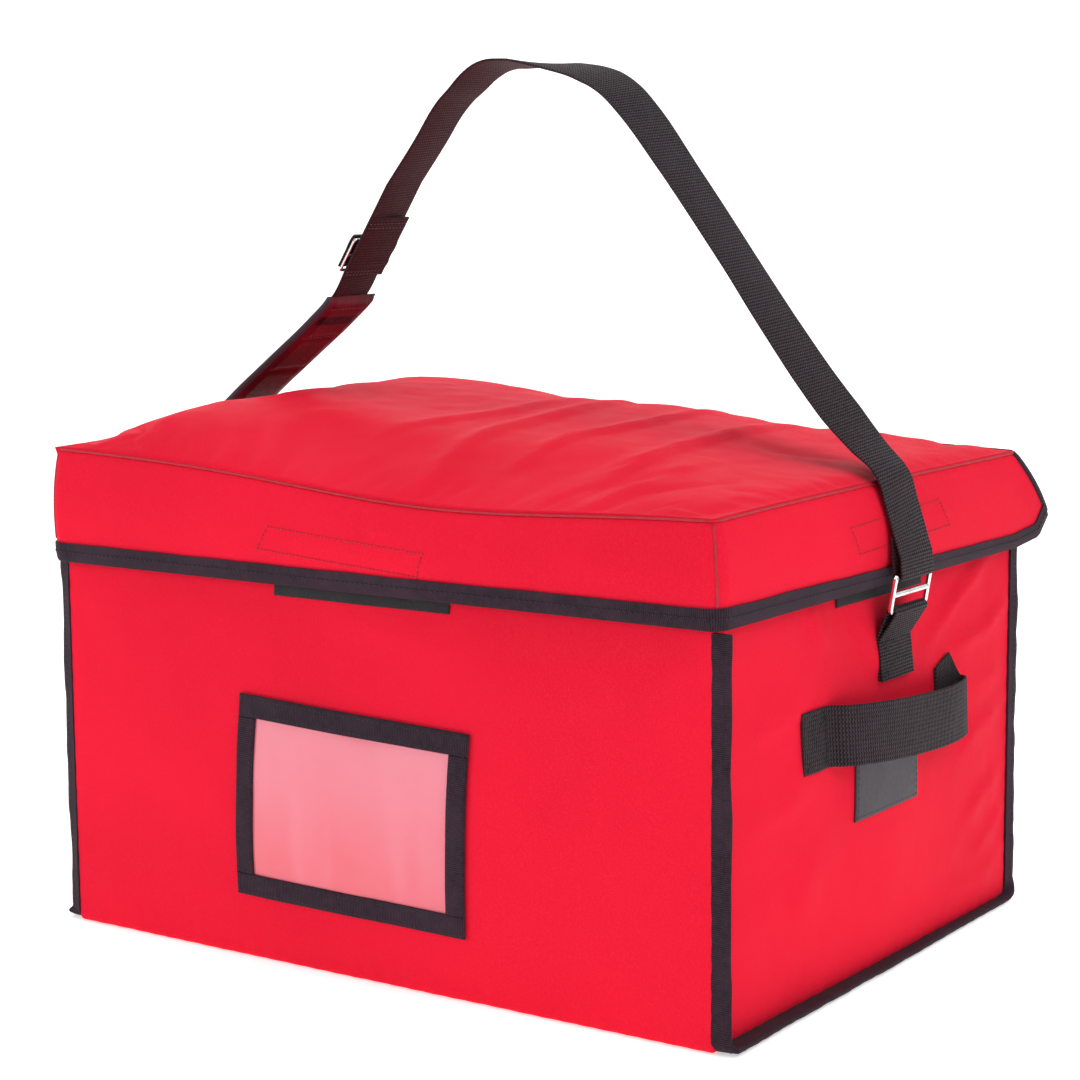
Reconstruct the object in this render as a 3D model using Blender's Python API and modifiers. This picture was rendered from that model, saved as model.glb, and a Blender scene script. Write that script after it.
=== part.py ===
"""Insulated delivery bag, in metres: X to the bag's right, -Y its front, +Z up, floor at zero.

Every panel is a grid that is laid on its face's own gentle swell and thickened by one extrusion,
so the foam behind it and the tapes, patches and handles on it all follow the same surface.
"""

import math

import bmesh
import bpy
import numpy as np
from mathutils import Vector

# Layers and clearances
CLEAR = 0.0003
FABRIC = 0.0015
FOAM = 0.0100
LINER = 0.0010
BOARD = 0.0025
TAPE = 0.0010
WEBBING = 0.0015
WEB_WIDTH = 0.038
HANDLE_WIDTH = 0.0335
BINDING = 0.0105

# Body
BODY_WIDTH = 0.4494
BODY_DEPTH = 0.3486
WALL_TOP = 0.2700
SWELL_TOP = 0.2180
FRONT_SWELL = 0.0090
BACK_SWELL = 0.0060
SIDE_SWELL = 0.0080
BOTTOM_ROUND = 0.0018
RIM_LEG = 0.0100
FIN_TOP = 0.2190
FIN_THICK = 0.0030
FIN_OUT = 0.0087
BASE_FIN_FRONT = 0.0112
BASE_FIN_BACK = 0.0060
LOOP_HEIGHT = 0.038
FRONT_LOOP_Z = 0.2140
SIDE_LOOP_Z = 0.2180
FRONT_LOOP = (-0.062, 0.060)
SIDE_LOOP = (-0.048, 0.052)
HINGE_STRIP_LOW = 0.2540
HINGE_STRIP_WIDTH = 0.430

# Window pocket on the front
WINDOW_X = -0.0064
WINDOW_Z = 0.0977
WINDOW_WIDTH = 0.1620
WINDOW_HEIGHT = 0.1130
WINDOW_TAPE = 0.0125
WINDOW_SHEET = 0.0006
WINDOW_LEAN_SHARE = 0.055
WINDOW_TAPER_SHARE = 0.044

# Side handles, label and anchor tabs
HANDLE_Z = 0.1473
HANDLE_FRONT = -0.0935
HANDLE_CREASE = -0.0640
HANDLE_CUT = -0.0560
HANDLE_REAR_CUT = 0.0820
HANDLE_REAR = 0.0930
HANDLE_REAR_TAB = 0.0500
HANDLE_OFF = 0.0150
HANDLE_AXIS_OFF = 0.0100
HANDLE_BOW_SHARES = ((0, 0), (0.08, 0.5), (0.25, 0.85), (0.5, 1), (0.75, 1), (0.92, 0.85), (1, 0.6))
HANDLE_TAB_SHARE = 0.4
LABEL_Y = -0.0017
LABEL_Z = 0.1168
LABEL_WIDTH = 0.0740
LABEL_HEIGHT = 0.0450
TAB_Y = 0.0105
TAB_LOW = 0.1675
TAB_BEND = 0.1900
RING_LOW = (0.2383, 0.2065)
RING_HIGH = (0.2418, 0.2270)
WIRE = 0.0015
WIRE_CLEAR = 0.0006

# Lid
HINGE_Z = 0.2730
SKIRT_SIDE_OUT = 0.0031
SKIRT_FRONT_OUT = 0.0048
SKIRT_FLARE_FRONT = 0.0024
SKIRT_FLARE_BACK = 0.0050
SKIRT_LOW = 0.2220
SKIRT_SWELL = 0.0060
SKIRT_CORNER_SWELL = 0.0030
SKIRT_BEND_SHARES = (0, 0.85, 0.95, 1)
SKIRT_BACK_END = 0.1710
SKIRT_BACK_LOW = (0.2080, 0.2360)
SKIRT_BACK_FOOT = (0.1960, 0.2250)
SKIRT_BACK_START = 0.1640
SEAM_FRONT_LEFT = 0.2890
SEAM_FRONT_RIGHT = 0.2790
SEAM_BACK_LEFT = 0.2920
SEAM_BACK_RIGHT = 0.2785
SEAM_DIP = 0.0110
SEAM_DIP_X = 0.0500
SEAM_DIP_SPAN = 0.1300
CROWN = 0.0255
CROWN_SHARES = (0.80, 1.00, 0.80, 0.68, 0.64, 0.60, 0.47, 0.24, 0.06)
CROWN_POWER = 6
LID_FOAM_INSET = 0.0120
LID_FOAM_CLEAR = 0.0008
SKIRT_FRONT_CELLS = 18
SKIRT_SIDE_CELLS = 20
HOOK_HEIGHT = 0.0190
HOOK_FRONT = (-0.064, 0.048)
HOOK_SIDE = (-0.055, 0.060)
HOOK_Z = 0.2470

# Shoulder strap: centreline places, from the right ring over the top to the left ring
STRAP_Y = -0.0030
STRAP_RIGHT = (
    (0.2436, 0.0105, 0.2370),
    (0.2402, 0.0100, 0.2480),
    (0.2346, 0.0080, 0.2660),
    (0.2298, 0.0060, 0.2810),
    (0.2150, 0.0045, 0.2977),
    (0.1932, 0.0035, 0.3236),
    (0.1642, 0.0020, 0.3586),
    (0.1349, 0.0005, 0.4009),
    (0.0984, -0.0015, 0.4510),
    (0.0720, -0.0030, 0.4850),
    (0.0560, -0.0030, 0.4990),
    (0.0380, -0.0030, 0.5080),
    (0.0050, -0.0030, 0.5150),
    (-0.0180, -0.0030, 0.5160),
    (-0.0350, -0.0030, 0.5120),
    (-0.0493, -0.0030, 0.5010),
    (-0.0693, -0.0030, 0.4770),
)
LEG_TOP = (-0.0873, 0.4590)
LEG_LOW = (-0.1310, 0.3910)
STRAP_LEFT = (
    (-0.1460, -0.0030, 0.3760),
    (-0.2480, -0.0030, 0.2995),
    (-0.2540, 0.0000, 0.2870),
    (-0.2535, 0.0045, 0.2700),
    (-0.2460, 0.0090, 0.2490),
    (-0.2436, 0.0105, 0.2370),
)
STRAP_TAIL_Z = 0.2490
PAD_LENGTH = 0.1700
PAD_WIDTH = 0.0500
PAD_THICK = 0.0050
PAD_TOP_Z = 0.3740

# Adjuster on the strap's left leg
ADJUSTER_Z = 0.3970
ADJUSTER_LENGTH = 0.0200
ADJUSTER_WIDTH = 0.0460
ADJUSTER_BAR = 0.0028

# Colours
RED = (0.87, 0.02, 0.055)
DARK = (0.045, 0.030, 0.045)
BLACK = (0.040, 0.036, 0.036)
PAD_RED = (0.10, 0.004, 0.012)
PINK = (0.90, 0.30, 0.36)
FOIL = (0.70, 0.71, 0.72)
WHITE = (0.85, 0.85, 0.83)
STEEL = (0.80, 0.80, 0.82)
BROWN = (0.42, 0.30, 0.18)

HALF_WIDTH = BODY_WIDTH / 2
HALF_DEPTH = BODY_DEPTH / 2
HINGE_Y = HALF_DEPTH + 3 * CLEAR + 2 * TAPE


def clear_scene():
    for obj in list(bpy.data.objects):
        bpy.data.objects.remove(obj, do_unlink=True)
    for collection in list(bpy.data.collections):
        bpy.data.collections.remove(collection)


def new_collection(name):
    collection = bpy.data.collections.new(name)
    bpy.context.scene.collection.children.link(collection)
    return collection


def material(name, colour, roughness, metallic=0.0):
    made = bpy.data.materials.get(name)
    if made is None:
        made = bpy.data.materials.new(name)
        made.use_nodes = True
        shader = made.node_tree.nodes["Principled BSDF"]
        shader.inputs["Base Color"].default_value = (*colour, 1.0)
        shader.inputs["Roughness"].default_value = roughness
        shader.inputs["Metallic"].default_value = metallic
        made.diffuse_color = (*colour, 1.0)
    return made


def finish_red():
    return material("coated_fabric", RED, 0.45)


def finish_tape():
    return material("binding_tape", DARK, 0.8)


def finish_web():
    return material("webbing", BLACK, 0.85)


def finish_foam():
    return material("foam", WHITE, 0.9)


def finish_foil():
    return material("foil_liner", FOIL, 0.35, 0.6)


def finish_metal():
    return material("chromed_steel", STEEL, 0.15, 1.0)


def add(name, mesh_data, finish, parent=None, smooth=False):
    """Puts a mesh in the bag's collection as a node, on its parent empty where it moves."""
    obj = bpy.data.objects.new(name, mesh_data)
    BAG.objects.link(obj)
    if finish:
        obj.data.materials.append(finish)
    if smooth:
        for face in obj.data.polygons:
            face.use_smooth = True
    if parent:
        obj.data.transform(parent.matrix_world.inverted())
        obj.parent = parent
    return obj


def slab(name, cells, place, finish, parent=None, smooth=False):
    """A grid that place(u, v, side) lays in space, made solid by one extrusion.

    u and v run from zero to one across the grid, and side is one on the outer face, zero on the inner.
    """
    bm = bmesh.new()
    bmesh.ops.create_grid(bm, x_segments=cells[0], y_segments=cells[1], size=0.5)
    outer = {vert: (vert.co.x + 0.5, vert.co.y + 0.5) for vert in bm.verts}
    made = bmesh.ops.extrude_face_region(bm, geom=list(bm.faces), use_keep_orig=True)
    inner = [item for item in made["geom"] if isinstance(item, bmesh.types.BMVert)]
    inner_uv = {vert: (vert.co.x + 0.5, vert.co.y + 0.5) for vert in inner}
    for vert, (u, v) in outer.items():
        vert.co = place(u, v, 1)
    for vert, (u, v) in inner_uv.items():
        vert.co = place(u, v, 0)
    bmesh.ops.recalc_face_normals(bm, faces=bm.faces)
    if bm.calc_volume(signed=True) < 0:
        bmesh.ops.reverse_faces(bm, faces=bm.faces)
    data = bpy.data.meshes.new(name)
    bm.to_mesh(data)
    bm.free()
    return add(name, data, finish, parent, smooth)


def box_mesh(name, low, high):
    bm = bmesh.new()
    bmesh.ops.create_cube(bm, size=1.0)
    low = Vector(low)
    high = Vector(high)
    for vert in bm.verts:
        vert.co = Vector(low[i] + (vert.co[i] + 0.5) * (high[i] - low[i]) for i in range(3))
    data = bpy.data.meshes.new(name)
    bm.to_mesh(data)
    bm.free()
    return data


def box(name, low, high, finish, parent=None):
    return add(name, box_mesh(name, low, high), finish, parent)


def helper(name, data):
    """A hidden object that shapes a node through a Boolean."""
    obj = bpy.data.objects.new(name, data)
    HELPERS.objects.link(obj)
    obj.hide_render = True
    obj.display_type = "WIRE"
    return obj


def combine(target, other, operation):
    modifier = target.modifiers.new(operation.title(), "BOOLEAN")
    modifier.operation = operation
    modifier.solver = "EXACT"
    modifier.object = other
    return modifier


def bevel(obj, width, segments=2):
    modifier = obj.modifiers.new("Bevel", "BEVEL")
    modifier.width = width
    modifier.segments = segments
    modifier.limit_method = "ANGLE"
    return modifier


def empty(name, place):
    obj = bpy.data.objects.new(name, None)
    BAG.objects.link(obj)
    obj.location = place
    obj.empty_display_size = BINDING
    bpy.context.view_layer.update()
    return obj


def hump(share):
    """Rises from zero at share 0 to one at a half and back to zero at share 1."""
    return math.sin(math.pi * min(max(share, 0.0), 1.0))


def front_out(x, z):
    return FRONT_SWELL * hump(x / BODY_WIDTH + 0.5) * hump(z / SWELL_TOP)


def back_out(x, z):
    return BACK_SWELL * hump(x / BODY_WIDTH + 0.5) * hump(z / SWELL_TOP)


def side_out(y, z):
    return SIDE_SWELL * hump(y / BODY_DEPTH + 0.5) * hump(z / SWELL_TOP)


def front_place(x, z, off):
    """A point at distance off outside the front panel's outer face."""
    return Vector((x, -(HALF_DEPTH + front_out(x, z) + off), z))


def side_place(side, y, z, off):
    """A point at distance off outside a side panel, side being 1 for right and -1 for left."""
    return Vector((side * (HALF_WIDTH + side_out(y, z) + off), y, z))


def between(low, high, share):
    return low + (high - low) * share


def seam_z(x, y):
    """Height of the sewn edge between lid cover and skirts, carried across the lid."""
    u = x / BODY_WIDTH + 0.5
    v = y / BODY_DEPTH + 0.5
    front = between(SEAM_FRONT_LEFT, SEAM_FRONT_RIGHT, u)
    back = between(SEAM_BACK_LEFT, SEAM_BACK_RIGHT, u)
    dip = SEAM_DIP * math.exp(-(((x - SEAM_DIP_X) / SEAM_DIP_SPAN) ** 2)) * (1 - min(max(v, 0), 1)) ** 4
    return between(front, back, v) - dip


LID_HALF_WIDTH = HALF_WIDTH + SKIRT_SIDE_OUT
LID_FRONT = -(HALF_DEPTH + SKIRT_FRONT_OUT)


def lid_top(x, y):
    middle = (LID_FRONT + HALF_DEPTH) / 2
    half = (HALF_DEPTH - LID_FRONT) / 2
    across = 1 - min(abs(x / LID_HALF_WIDTH), 1) ** CROWN_POWER
    along = 1 - min(abs((y - middle) / half), 1) ** CROWN_POWER
    places = np.linspace(-LID_HALF_WIDTH, LID_HALF_WIDTH, len(CROWN_SHARES))
    crown = CROWN * float(np.interp(x, places, CROWN_SHARES))
    return seam_z(x, y) + crown * across * along


def skirt_belly(share, along):
    """How far a skirt swells out: least at its ends, most at the middle of its length."""
    return hump(share) * between(SKIRT_CORNER_SWELL, SKIRT_SWELL, hump(along) ** 2)


def skirt_front(x, share, off):
    """A point on the front skirt's outer face, share up from its lower edge, moved out by off."""
    top = seam_z(x, LID_FRONT) - FABRIC - CLEAR
    swell = skirt_belly(share, x / (2 * LID_HALF_WIDTH) + 0.5)
    spread = SKIRT_FLARE_FRONT * (1 - share) + SKIRT_CORNER_SWELL * hump(share)
    out_x = x * (1 + spread / LID_HALF_WIDTH)
    return Vector((out_x, LID_FRONT - swell - off, between(SKIRT_LOW, top, share)))


def skirt_side(side, along, share, off):
    """The same on a side skirt, along being its share from front to free back end."""
    front = LID_FRONT + FABRIC + CLEAR
    low_places = (front, SKIRT_BACK_START, SKIRT_BACK_FOOT[0], SKIRT_BACK_LOW[0])
    low_heights = (SKIRT_LOW, SKIRT_LOW, SKIRT_BACK_FOOT[1], SKIRT_BACK_LOW[1])
    low_y = float(np.interp(along, SKIRT_BEND_SHARES, low_places))
    low_z = float(np.interp(along, SKIRT_BEND_SHARES, low_heights))
    top_y = between(front, SKIRT_BACK_END, along)
    top_z = seam_z(side * LID_HALF_WIDTH, top_y) - FABRIC - CLEAR
    flare = between(SKIRT_FLARE_FRONT, SKIRT_FLARE_BACK, along) * (1 - share)
    pull = SKIRT_CORNER_SWELL * hump(share) * (1 - along)
    x = LID_HALF_WIDTH + flare + skirt_belly(share, along) + off
    return Vector((side * x, between(low_y, top_y, share) - pull, between(low_z, top_z, share)))


def arc(centre, radius, start, stop, steps):
    """Points of an arc in a plane, angles in degrees."""
    return [
        (centre[0] + radius * math.cos(math.radians(a)), centre[1] + radius * math.sin(math.radians(a)))
        for a in np.linspace(start, stop, steps)
    ]


def smooth(points, steps):
    """Points spaced evenly along a curve through the given ones."""
    guide = bpy.data.curves.new("guide", "CURVE")
    guide.dimensions = "3D"
    spline = guide.splines.new("BEZIER")
    spline.bezier_points.add(len(points) - 1)
    for point, knot in zip(points, spline.bezier_points):
        knot.co = point
        knot.handle_left_type = "AUTO"
        knot.handle_right_type = "AUTO"
    guide.resolution_u = 12
    guide_object = bpy.data.objects.new("guide", guide)
    HELPERS.objects.link(guide_object)
    bpy.context.view_layer.update()
    data = guide_object.to_mesh()
    line = np.array([tuple(vert.co) for vert in data.vertices])
    guide_object.to_mesh_clear()
    bpy.data.objects.remove(guide_object, do_unlink=True)
    bpy.data.curves.remove(guide)
    gone = np.concatenate([[0.0], np.cumsum(np.linalg.norm(np.diff(line, axis=0), axis=1))])
    at = np.linspace(0.0, gone[-1], steps)
    return [Vector(np.interp(at, gone, line[:, axis])[i] for axis in range(3)) for i in range(steps)]


def smooth_flat(points, steps):
    """The same for points of a plane."""
    return [(point.x, point.y) for point in smooth([(*point, 0.0) for point in points], steps)]


def ribbon(name, line, width_way, width, thick, finish, parent=None):
    """A flat band along a line of points: width_way is the direction that its width lies in."""
    line = [Vector(point) for point in line]
    width_way = Vector(width_way)
    normals = []
    for i in range(len(line)):
        before = line[max(i - 1, 0)]
        after = line[min(i + 1, len(line) - 1)]
        normals.append((after - before).cross(width_way).normalized())

    def place(u, v, side):
        i = round(u * (len(line) - 1))
        return line[i] + width_way * ((v - 0.5) * width) + normals[i] * ((side - 0.5) * thick)

    return slab(name, (len(line) - 1, 1), place, finish, parent, smooth=False)


def build_wrap():
    """Front, bottom and back in one length, with the swell of each panel."""
    turn = BOTTOM_ROUND
    heights = [WALL_TOP] + list(np.linspace(SWELL_TOP, turn, 12))
    rows = [("front", z) for z in heights]
    rows += [("front_corner", 45.0)]
    rows += [("bottom", y) for y in np.linspace(-HALF_DEPTH + turn, HALF_DEPTH - turn, 4)]
    rows += [("back_corner", 45.0)]
    rows += [("back", z) for z in reversed(heights)]

    def place(u, v, side):
        x = between(-HALF_WIDTH, HALF_WIDTH, u)
        kind, value = rows[round(v * (len(rows) - 1))]
        inward = (1 - side) * FABRIC
        if kind == "front":
            return Vector((x, -(HALF_DEPTH + front_out(x, value) - inward), value))
        if kind == "back":
            return Vector((x, HALF_DEPTH + back_out(x, value) - inward, value))
        if kind == "bottom":
            return Vector((x, value, inward))
        reach = (turn - inward) * math.cos(math.radians(value))
        y = HALF_DEPTH - turn + reach
        return Vector((x, -y if kind == "front_corner" else y, turn - reach))

    slab("outer_wrap", (12, len(rows) - 1), place, finish_red(), smooth=True)


def build_side_panel(name, side):
    inset = FABRIC + CLEAR

    def place(u, v, outer):
        y = between(-HALF_DEPTH + inset, HALF_DEPTH - inset, u)
        z = between(inset, WALL_TOP, v)
        return side_place(side, y, z, -(1 - outer) * FABRIC)

    slab(name, (10, 10), place, finish_red(), smooth=True)


def build_walls():
    """Foam behind each panel, flat on its inner face, and the board and foam of the base."""
    inset = FABRIC + CLEAR
    board_low = FABRIC + CLEAR
    foam_low = board_low + BOARD + CLEAR
    wall_low = foam_low + FOAM + CLEAR
    wall_high = WALL_TOP - CLEAR
    inner_x = HALF_WIDTH - inset - FOAM
    inner_y = HALF_DEPTH - inset - FOAM
    box("base_board", (-HALF_WIDTH + 2 * inset, -HALF_DEPTH + 2 * inset, board_low),
        (HALF_WIDTH - 2 * inset, HALF_DEPTH - 2 * inset, board_low + BOARD), material("board", BROWN, 0.8))
    box("foam_bottom", (-HALF_WIDTH + inset, -HALF_DEPTH + inset + CLEAR, foam_low),
        (HALF_WIDTH - inset, HALF_DEPTH - inset - CLEAR, foam_low + FOAM), finish_foam())

    def end_wall(name, sign, swell):
        def place(u, v, outer):
            x = between(-inner_x + CLEAR, inner_x - CLEAR, u)
            z = between(wall_low, wall_high, v)
            out = HALF_DEPTH - inset - CLEAR + swell(x, z) if outer else inner_y
            return Vector((x, sign * out, z))

        slab(name, (10, 10), place, finish_foam())

    def side_wall(name, sign):
        def place(u, v, outer):
            y = between(-HALF_DEPTH + inset + CLEAR, HALF_DEPTH - inset - CLEAR, u)
            z = between(wall_low, wall_high, v)
            out = HALF_WIDTH - inset - CLEAR + side_out(y, z) if outer else inner_x
            return Vector((sign * out, y, z))

        slab(name, (10, 10), place, finish_foam())

    end_wall("foam_front", -1, front_out)
    end_wall("foam_back", 1, back_out)
    side_wall("foam_right", 1)
    side_wall("foam_left", -1)
    build_liner(inner_x - CLEAR, inner_y - CLEAR, wall_low, wall_high)
    build_rim(inner_x - CLEAR - LINER, inner_y - CLEAR - LINER)


def build_liner(half_x, half_y, low, high):
    """Foil tub: a box without its top, thickened inwards."""
    bm = bmesh.new()
    bm.from_mesh(box_mesh("tub", (-half_x, -half_y, low), (half_x, half_y, high)))
    top = [face for face in bm.faces if face.normal.z > 0.5]
    bmesh.ops.delete(bm, geom=top, context="FACES_ONLY")
    data = bpy.data.meshes.new("liner")
    bm.to_mesh(data)
    bm.free()
    tub = add("liner", data, finish_foil())
    modifier = tub.modifiers.new("Wall", "SOLIDIFY")
    modifier.thickness = LINER
    modifier.offset = -1
    modifier.use_even_offset = True


def build_rim(hollow_x, hollow_y):
    """Tape folded over the top of panel, foam and liner, all the way round."""
    leg_low = WALL_TOP - RIM_LEG
    top = WALL_TOP + CLEAR
    out_x = HALF_WIDTH + CLEAR
    out_y = HALF_DEPTH + CLEAR
    rim = box("rim_binding", (-out_x - TAPE, -out_y - TAPE, leg_low),
              (out_x + TAPE, out_y + TAPE, top + TAPE), finish_tape())
    leg_x = hollow_x - CLEAR
    leg_y = hollow_y - CLEAR
    mouth = helper("rim_mouth", box_mesh("rim_mouth", (-leg_x + TAPE, -leg_y + TAPE, leg_low - TAPE),
                                         (leg_x - TAPE, leg_y - TAPE, top + 2 * TAPE)))
    groove = helper("rim_groove", box_mesh("rim_groove", (-out_x, -out_y, leg_low - TAPE),
                                           (out_x, out_y, top)))
    core = helper("rim_core", box_mesh("rim_core", (-leg_x, -leg_y, leg_low - 2 * TAPE),
                                       (leg_x, leg_y, top + TAPE)))
    combine(groove, core, "DIFFERENCE")
    combine(rim, mouth, "DIFFERENCE")
    combine(rim, groove, "DIFFERENCE")


def build_side_binding(name, side):
    """Tape folded over the side seam: a fin at the front, one flat on the floor, a fin pointing back."""
    face = HALF_WIDTH + CLEAR
    foot = CLEAR

    def span(x_low, x_high):
        return sorted((side * x_low, side * x_high))

    def piece(x_low, x_high, y_low, y_high, z_low, z_high):
        x = span(x_low, x_high)
        return (x[0], y_low, z_low), (x[1], y_high, z_high)

    def along_base(u, v, outer):
        y = between(-HALF_DEPTH, HALF_DEPTH, u)
        root = HALF_WIDTH + side_out(y, foot + FIN_THICK) + CLEAR
        reach = between(BASE_FIN_FRONT, BASE_FIN_BACK, u)
        return Vector((side * (root + v * reach), y, foot + outer * FIN_THICK))

    band = slab(name, (10, 2), along_base, finish_tape())
    fins = (
        piece(face, face + FIN_OUT, -HALF_DEPTH, -HALF_DEPTH + FIN_THICK, foot, FIN_TOP),
        piece(face - FIN_THICK + CLEAR, face + FIN_THICK / 2, HALF_DEPTH + CLEAR,
              HALF_DEPTH + CLEAR + FIN_OUT, foot, FIN_TOP),
        piece(face, face + FIN_THICK / 2, HALF_DEPTH - FIN_THICK, HALF_DEPTH + FIN_OUT, foot, FIN_TOP),
    )
    for i, (low, high) in enumerate(fins):
        fin = helper(f"{name}_fin_{i}", box_mesh(name, low, high))
        combine(band, fin, "UNION")
    bevel(band, FIN_THICK / 5)


def patch_front(name, low, high, off, thick, finish, cells=(6, 3), lean=None):
    def place(u, v, outer):
        x = between(low[0], high[0], u)
        z = between(low[1], high[1], v)
        if lean:
            x, z = lean(x, z)
        return front_place(x, z, off + outer * thick)

    slab(name, cells, place, finish)


def patch_side(name, side, low, high, off, thick, finish, cells=(6, 3)):
    def place(u, v, outer):
        y = between(low[0], high[0], u)
        z = between(low[1], high[1], v)
        return side_place(side, y, z, off + outer * thick)

    slab(name, cells, place, finish)


def build_loops():
    patch_front("front_loop_strip", (FRONT_LOOP[0], FRONT_LOOP_Z),
                (FRONT_LOOP[1], FRONT_LOOP_Z + LOOP_HEIGHT), CLEAR, TAPE, finish_web())
    for name, side in (("right_loop_strip", 1), ("left_loop_strip", -1)):
        patch_side(name, side, (SIDE_LOOP[0], SIDE_LOOP_Z),
                   (SIDE_LOOP[1], SIDE_LOOP_Z + LOOP_HEIGHT), CLEAR, TAPE, finish_web())


def window_lean(x, z):
    """The pocket leans with the slack front and is a little lower on its right."""
    across = (x - WINDOW_X) / (WINDOW_WIDTH / 2)
    up = z - WINDOW_Z
    return x + WINDOW_LEAN_SHARE * up, WINDOW_Z + up * (1 - WINDOW_TAPER_SHARE * across)


def build_window():
    half_w = WINDOW_WIDTH / 2
    half_h = WINDOW_HEIGHT / 2
    left = WINDOW_X - half_w
    right = WINDOW_X + half_w
    low = WINDOW_Z - half_h
    high = WINDOW_Z + half_h
    tuck = WINDOW_TAPE / 2
    vinyl = material("vinyl_sheet", PINK, 0.25)
    patch_front("window_sheet", (left + tuck, low + tuck), (right - tuck, high - tuck),
                CLEAR, WINDOW_SHEET, vinyl, (8, 6), window_lean)
    off = 2 * CLEAR + WINDOW_SHEET
    tape = finish_tape()
    inner_low = low + WINDOW_TAPE
    inner_high = high - WINDOW_TAPE
    patch_front("window_tape_bottom", (left, low), (right, inner_low), off, TAPE, tape, (8, 2), window_lean)
    patch_front("window_tape_top", (left, inner_high), (right, high), off, TAPE, tape, (8, 2), window_lean)
    patch_front("window_tape_left", (left, inner_low + CLEAR), (left + WINDOW_TAPE, inner_high - CLEAR),
                off, TAPE, tape, (2, 5), window_lean)
    patch_front("window_tape_right", (right - WINDOW_TAPE, inner_low + CLEAR), (right, inner_high - CLEAR),
                off, TAPE, tape, (2, 5), window_lean)


def handle_band(name, side, line, parent=None):
    """Webbing along (y, distance from the panel) points, its width up the panel and its ends square to y."""
    normals = []
    for i in range(len(line)):
        before = line[max(i - 1, 0)]
        after = line[min(i + 1, len(line) - 1)]
        way = Vector((after[0] - before[0], after[1] - before[1])).normalized()
        normals.append(Vector((-way.y, way.x)))
    normals[0] = Vector((0.0, math.copysign(1, normals[0].y)))
    normals[-1] = Vector((0.0, math.copysign(1, normals[-1].y)))

    def place(u, v, outer):
        i = round(u * (len(line) - 1))
        shift = normals[i] * ((outer - 0.5) * WEBBING)
        z = HANDLE_Z + (v - 0.5) * HANDLE_WIDTH
        return side_place(side, line[i][0] + shift.x, z, line[i][1] + shift.y)

    slab(name, (len(line) - 1, 4), place, finish_web(), parent)


def build_handle(word, side):
    """Two ends sewn flat to the panel and the bow between them, cut where it flexes."""
    flat = CLEAR + WEBBING / 2
    rise = HANDLE_AXIS_OFF - WEBBING
    front = (
        (HANDLE_FRONT, flat),
        ((HANDLE_FRONT + HANDLE_CREASE) / 2, flat),
        (HANDLE_CREASE, flat),
        (HANDLE_CUT, rise),
    )
    handle_band(f"handle_{word}_front_tab", side, front)
    cut = HANDLE_CUT + CLEAR
    bow = [
        (between(cut, HANDLE_REAR_CUT, along), between(rise, HANDLE_OFF, off))
        for along, off in HANDLE_BOW_SHARES
    ]
    turn = (
        (HANDLE_REAR_CUT + CLEAR, bow[-1][1]),
        (HANDLE_REAR - FABRIC, bow[-1][1] - 2 * FABRIC),
        (HANDLE_REAR, bow[-1][1] / 2),
        (HANDLE_REAR - 2 * FABRIC, 2 * FABRIC),
        (HANDLE_REAR_CUT - 2 * FABRIC, flat),
        (between(HANDLE_REAR_CUT, HANDLE_REAR_TAB, HANDLE_TAB_SHARE), flat),
        (HANDLE_REAR_TAB, flat),
    )
    handle_band(f"handle_{word}_rear_tab", side, smooth_flat(turn, 15))
    pivot = empty(f"handle_{word}_axis", side_place(side, 0.0, HANDLE_Z, HANDLE_AXIS_OFF))
    handle_band(f"handle_{word}_grip", side, smooth_flat(bow, 21), pivot)


def ring_bars(side):
    low = Vector((side * RING_LOW[0], TAB_Y, RING_LOW[1]))
    high = Vector((side * RING_HIGH[0], TAB_Y, RING_HIGH[1]))
    return low, high


def wire(name, points, closed=False):
    """A wire along straight stretches between points, as a mesh."""
    curve = bpy.data.curves.new(name, "CURVE")
    curve.dimensions = "3D"
    curve.bevel_depth = WIRE
    curve.bevel_resolution = 1
    curve.use_fill_caps = True
    spline = curve.splines.new("POLY")
    spline.points.add(len(points) - 1)
    for point, knot in zip(points, spline.points):
        knot.co = (*point, 1.0)
    spline.use_cyclic_u = closed
    holder = bpy.data.objects.new(name, curve)
    HELPERS.objects.link(holder)
    graph = bpy.context.evaluated_depsgraph_get()
    data = bpy.data.meshes.new_from_object(holder.evaluated_get(graph))
    bpy.data.objects.remove(holder, do_unlink=True)
    bpy.data.curves.remove(curve)
    bm = bmesh.new()
    bm.from_mesh(data)
    bmesh.ops.remove_doubles(bm, verts=bm.verts, dist=WIRE / 1000)
    bm.to_mesh(data)
    bm.free()
    data.name = name
    return data


def build_ring(name, side, pivot):
    """Double loop of wire: two long sides, a bar for the tab, a bar for the strap and one between."""
    low, high = ring_bars(side)
    half = WEB_WIDTH / 2 + WIRE_CLEAR + WIRE
    wide = Vector((0.0, half, 0.0))
    rise = (high - low).normalized()
    corner = 2 * WIRE
    points = []
    for centre, sign in ((low, -1), (high, 1)):
        for across in (sign, -sign):
            for step in range(4):
                turn = math.radians(30 * step)
                if across == sign:
                    turn = math.radians(90) - turn
                pull = Vector((0.0, across * corner * (1 - math.sin(turn)), 0.0))
                points.append(centre + wide * across - pull + rise * (-sign * corner * (1 - math.cos(turn))))
    middle = (low + high) / 2
    ring = add(name, wire(name, points, closed=True), finish_metal(), pivot, smooth=True)
    bar = helper(f"{name}_bar", wire(f"{name}_bar", (middle - wide, middle + wide)))
    combine(ring, bar, "UNION")


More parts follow.
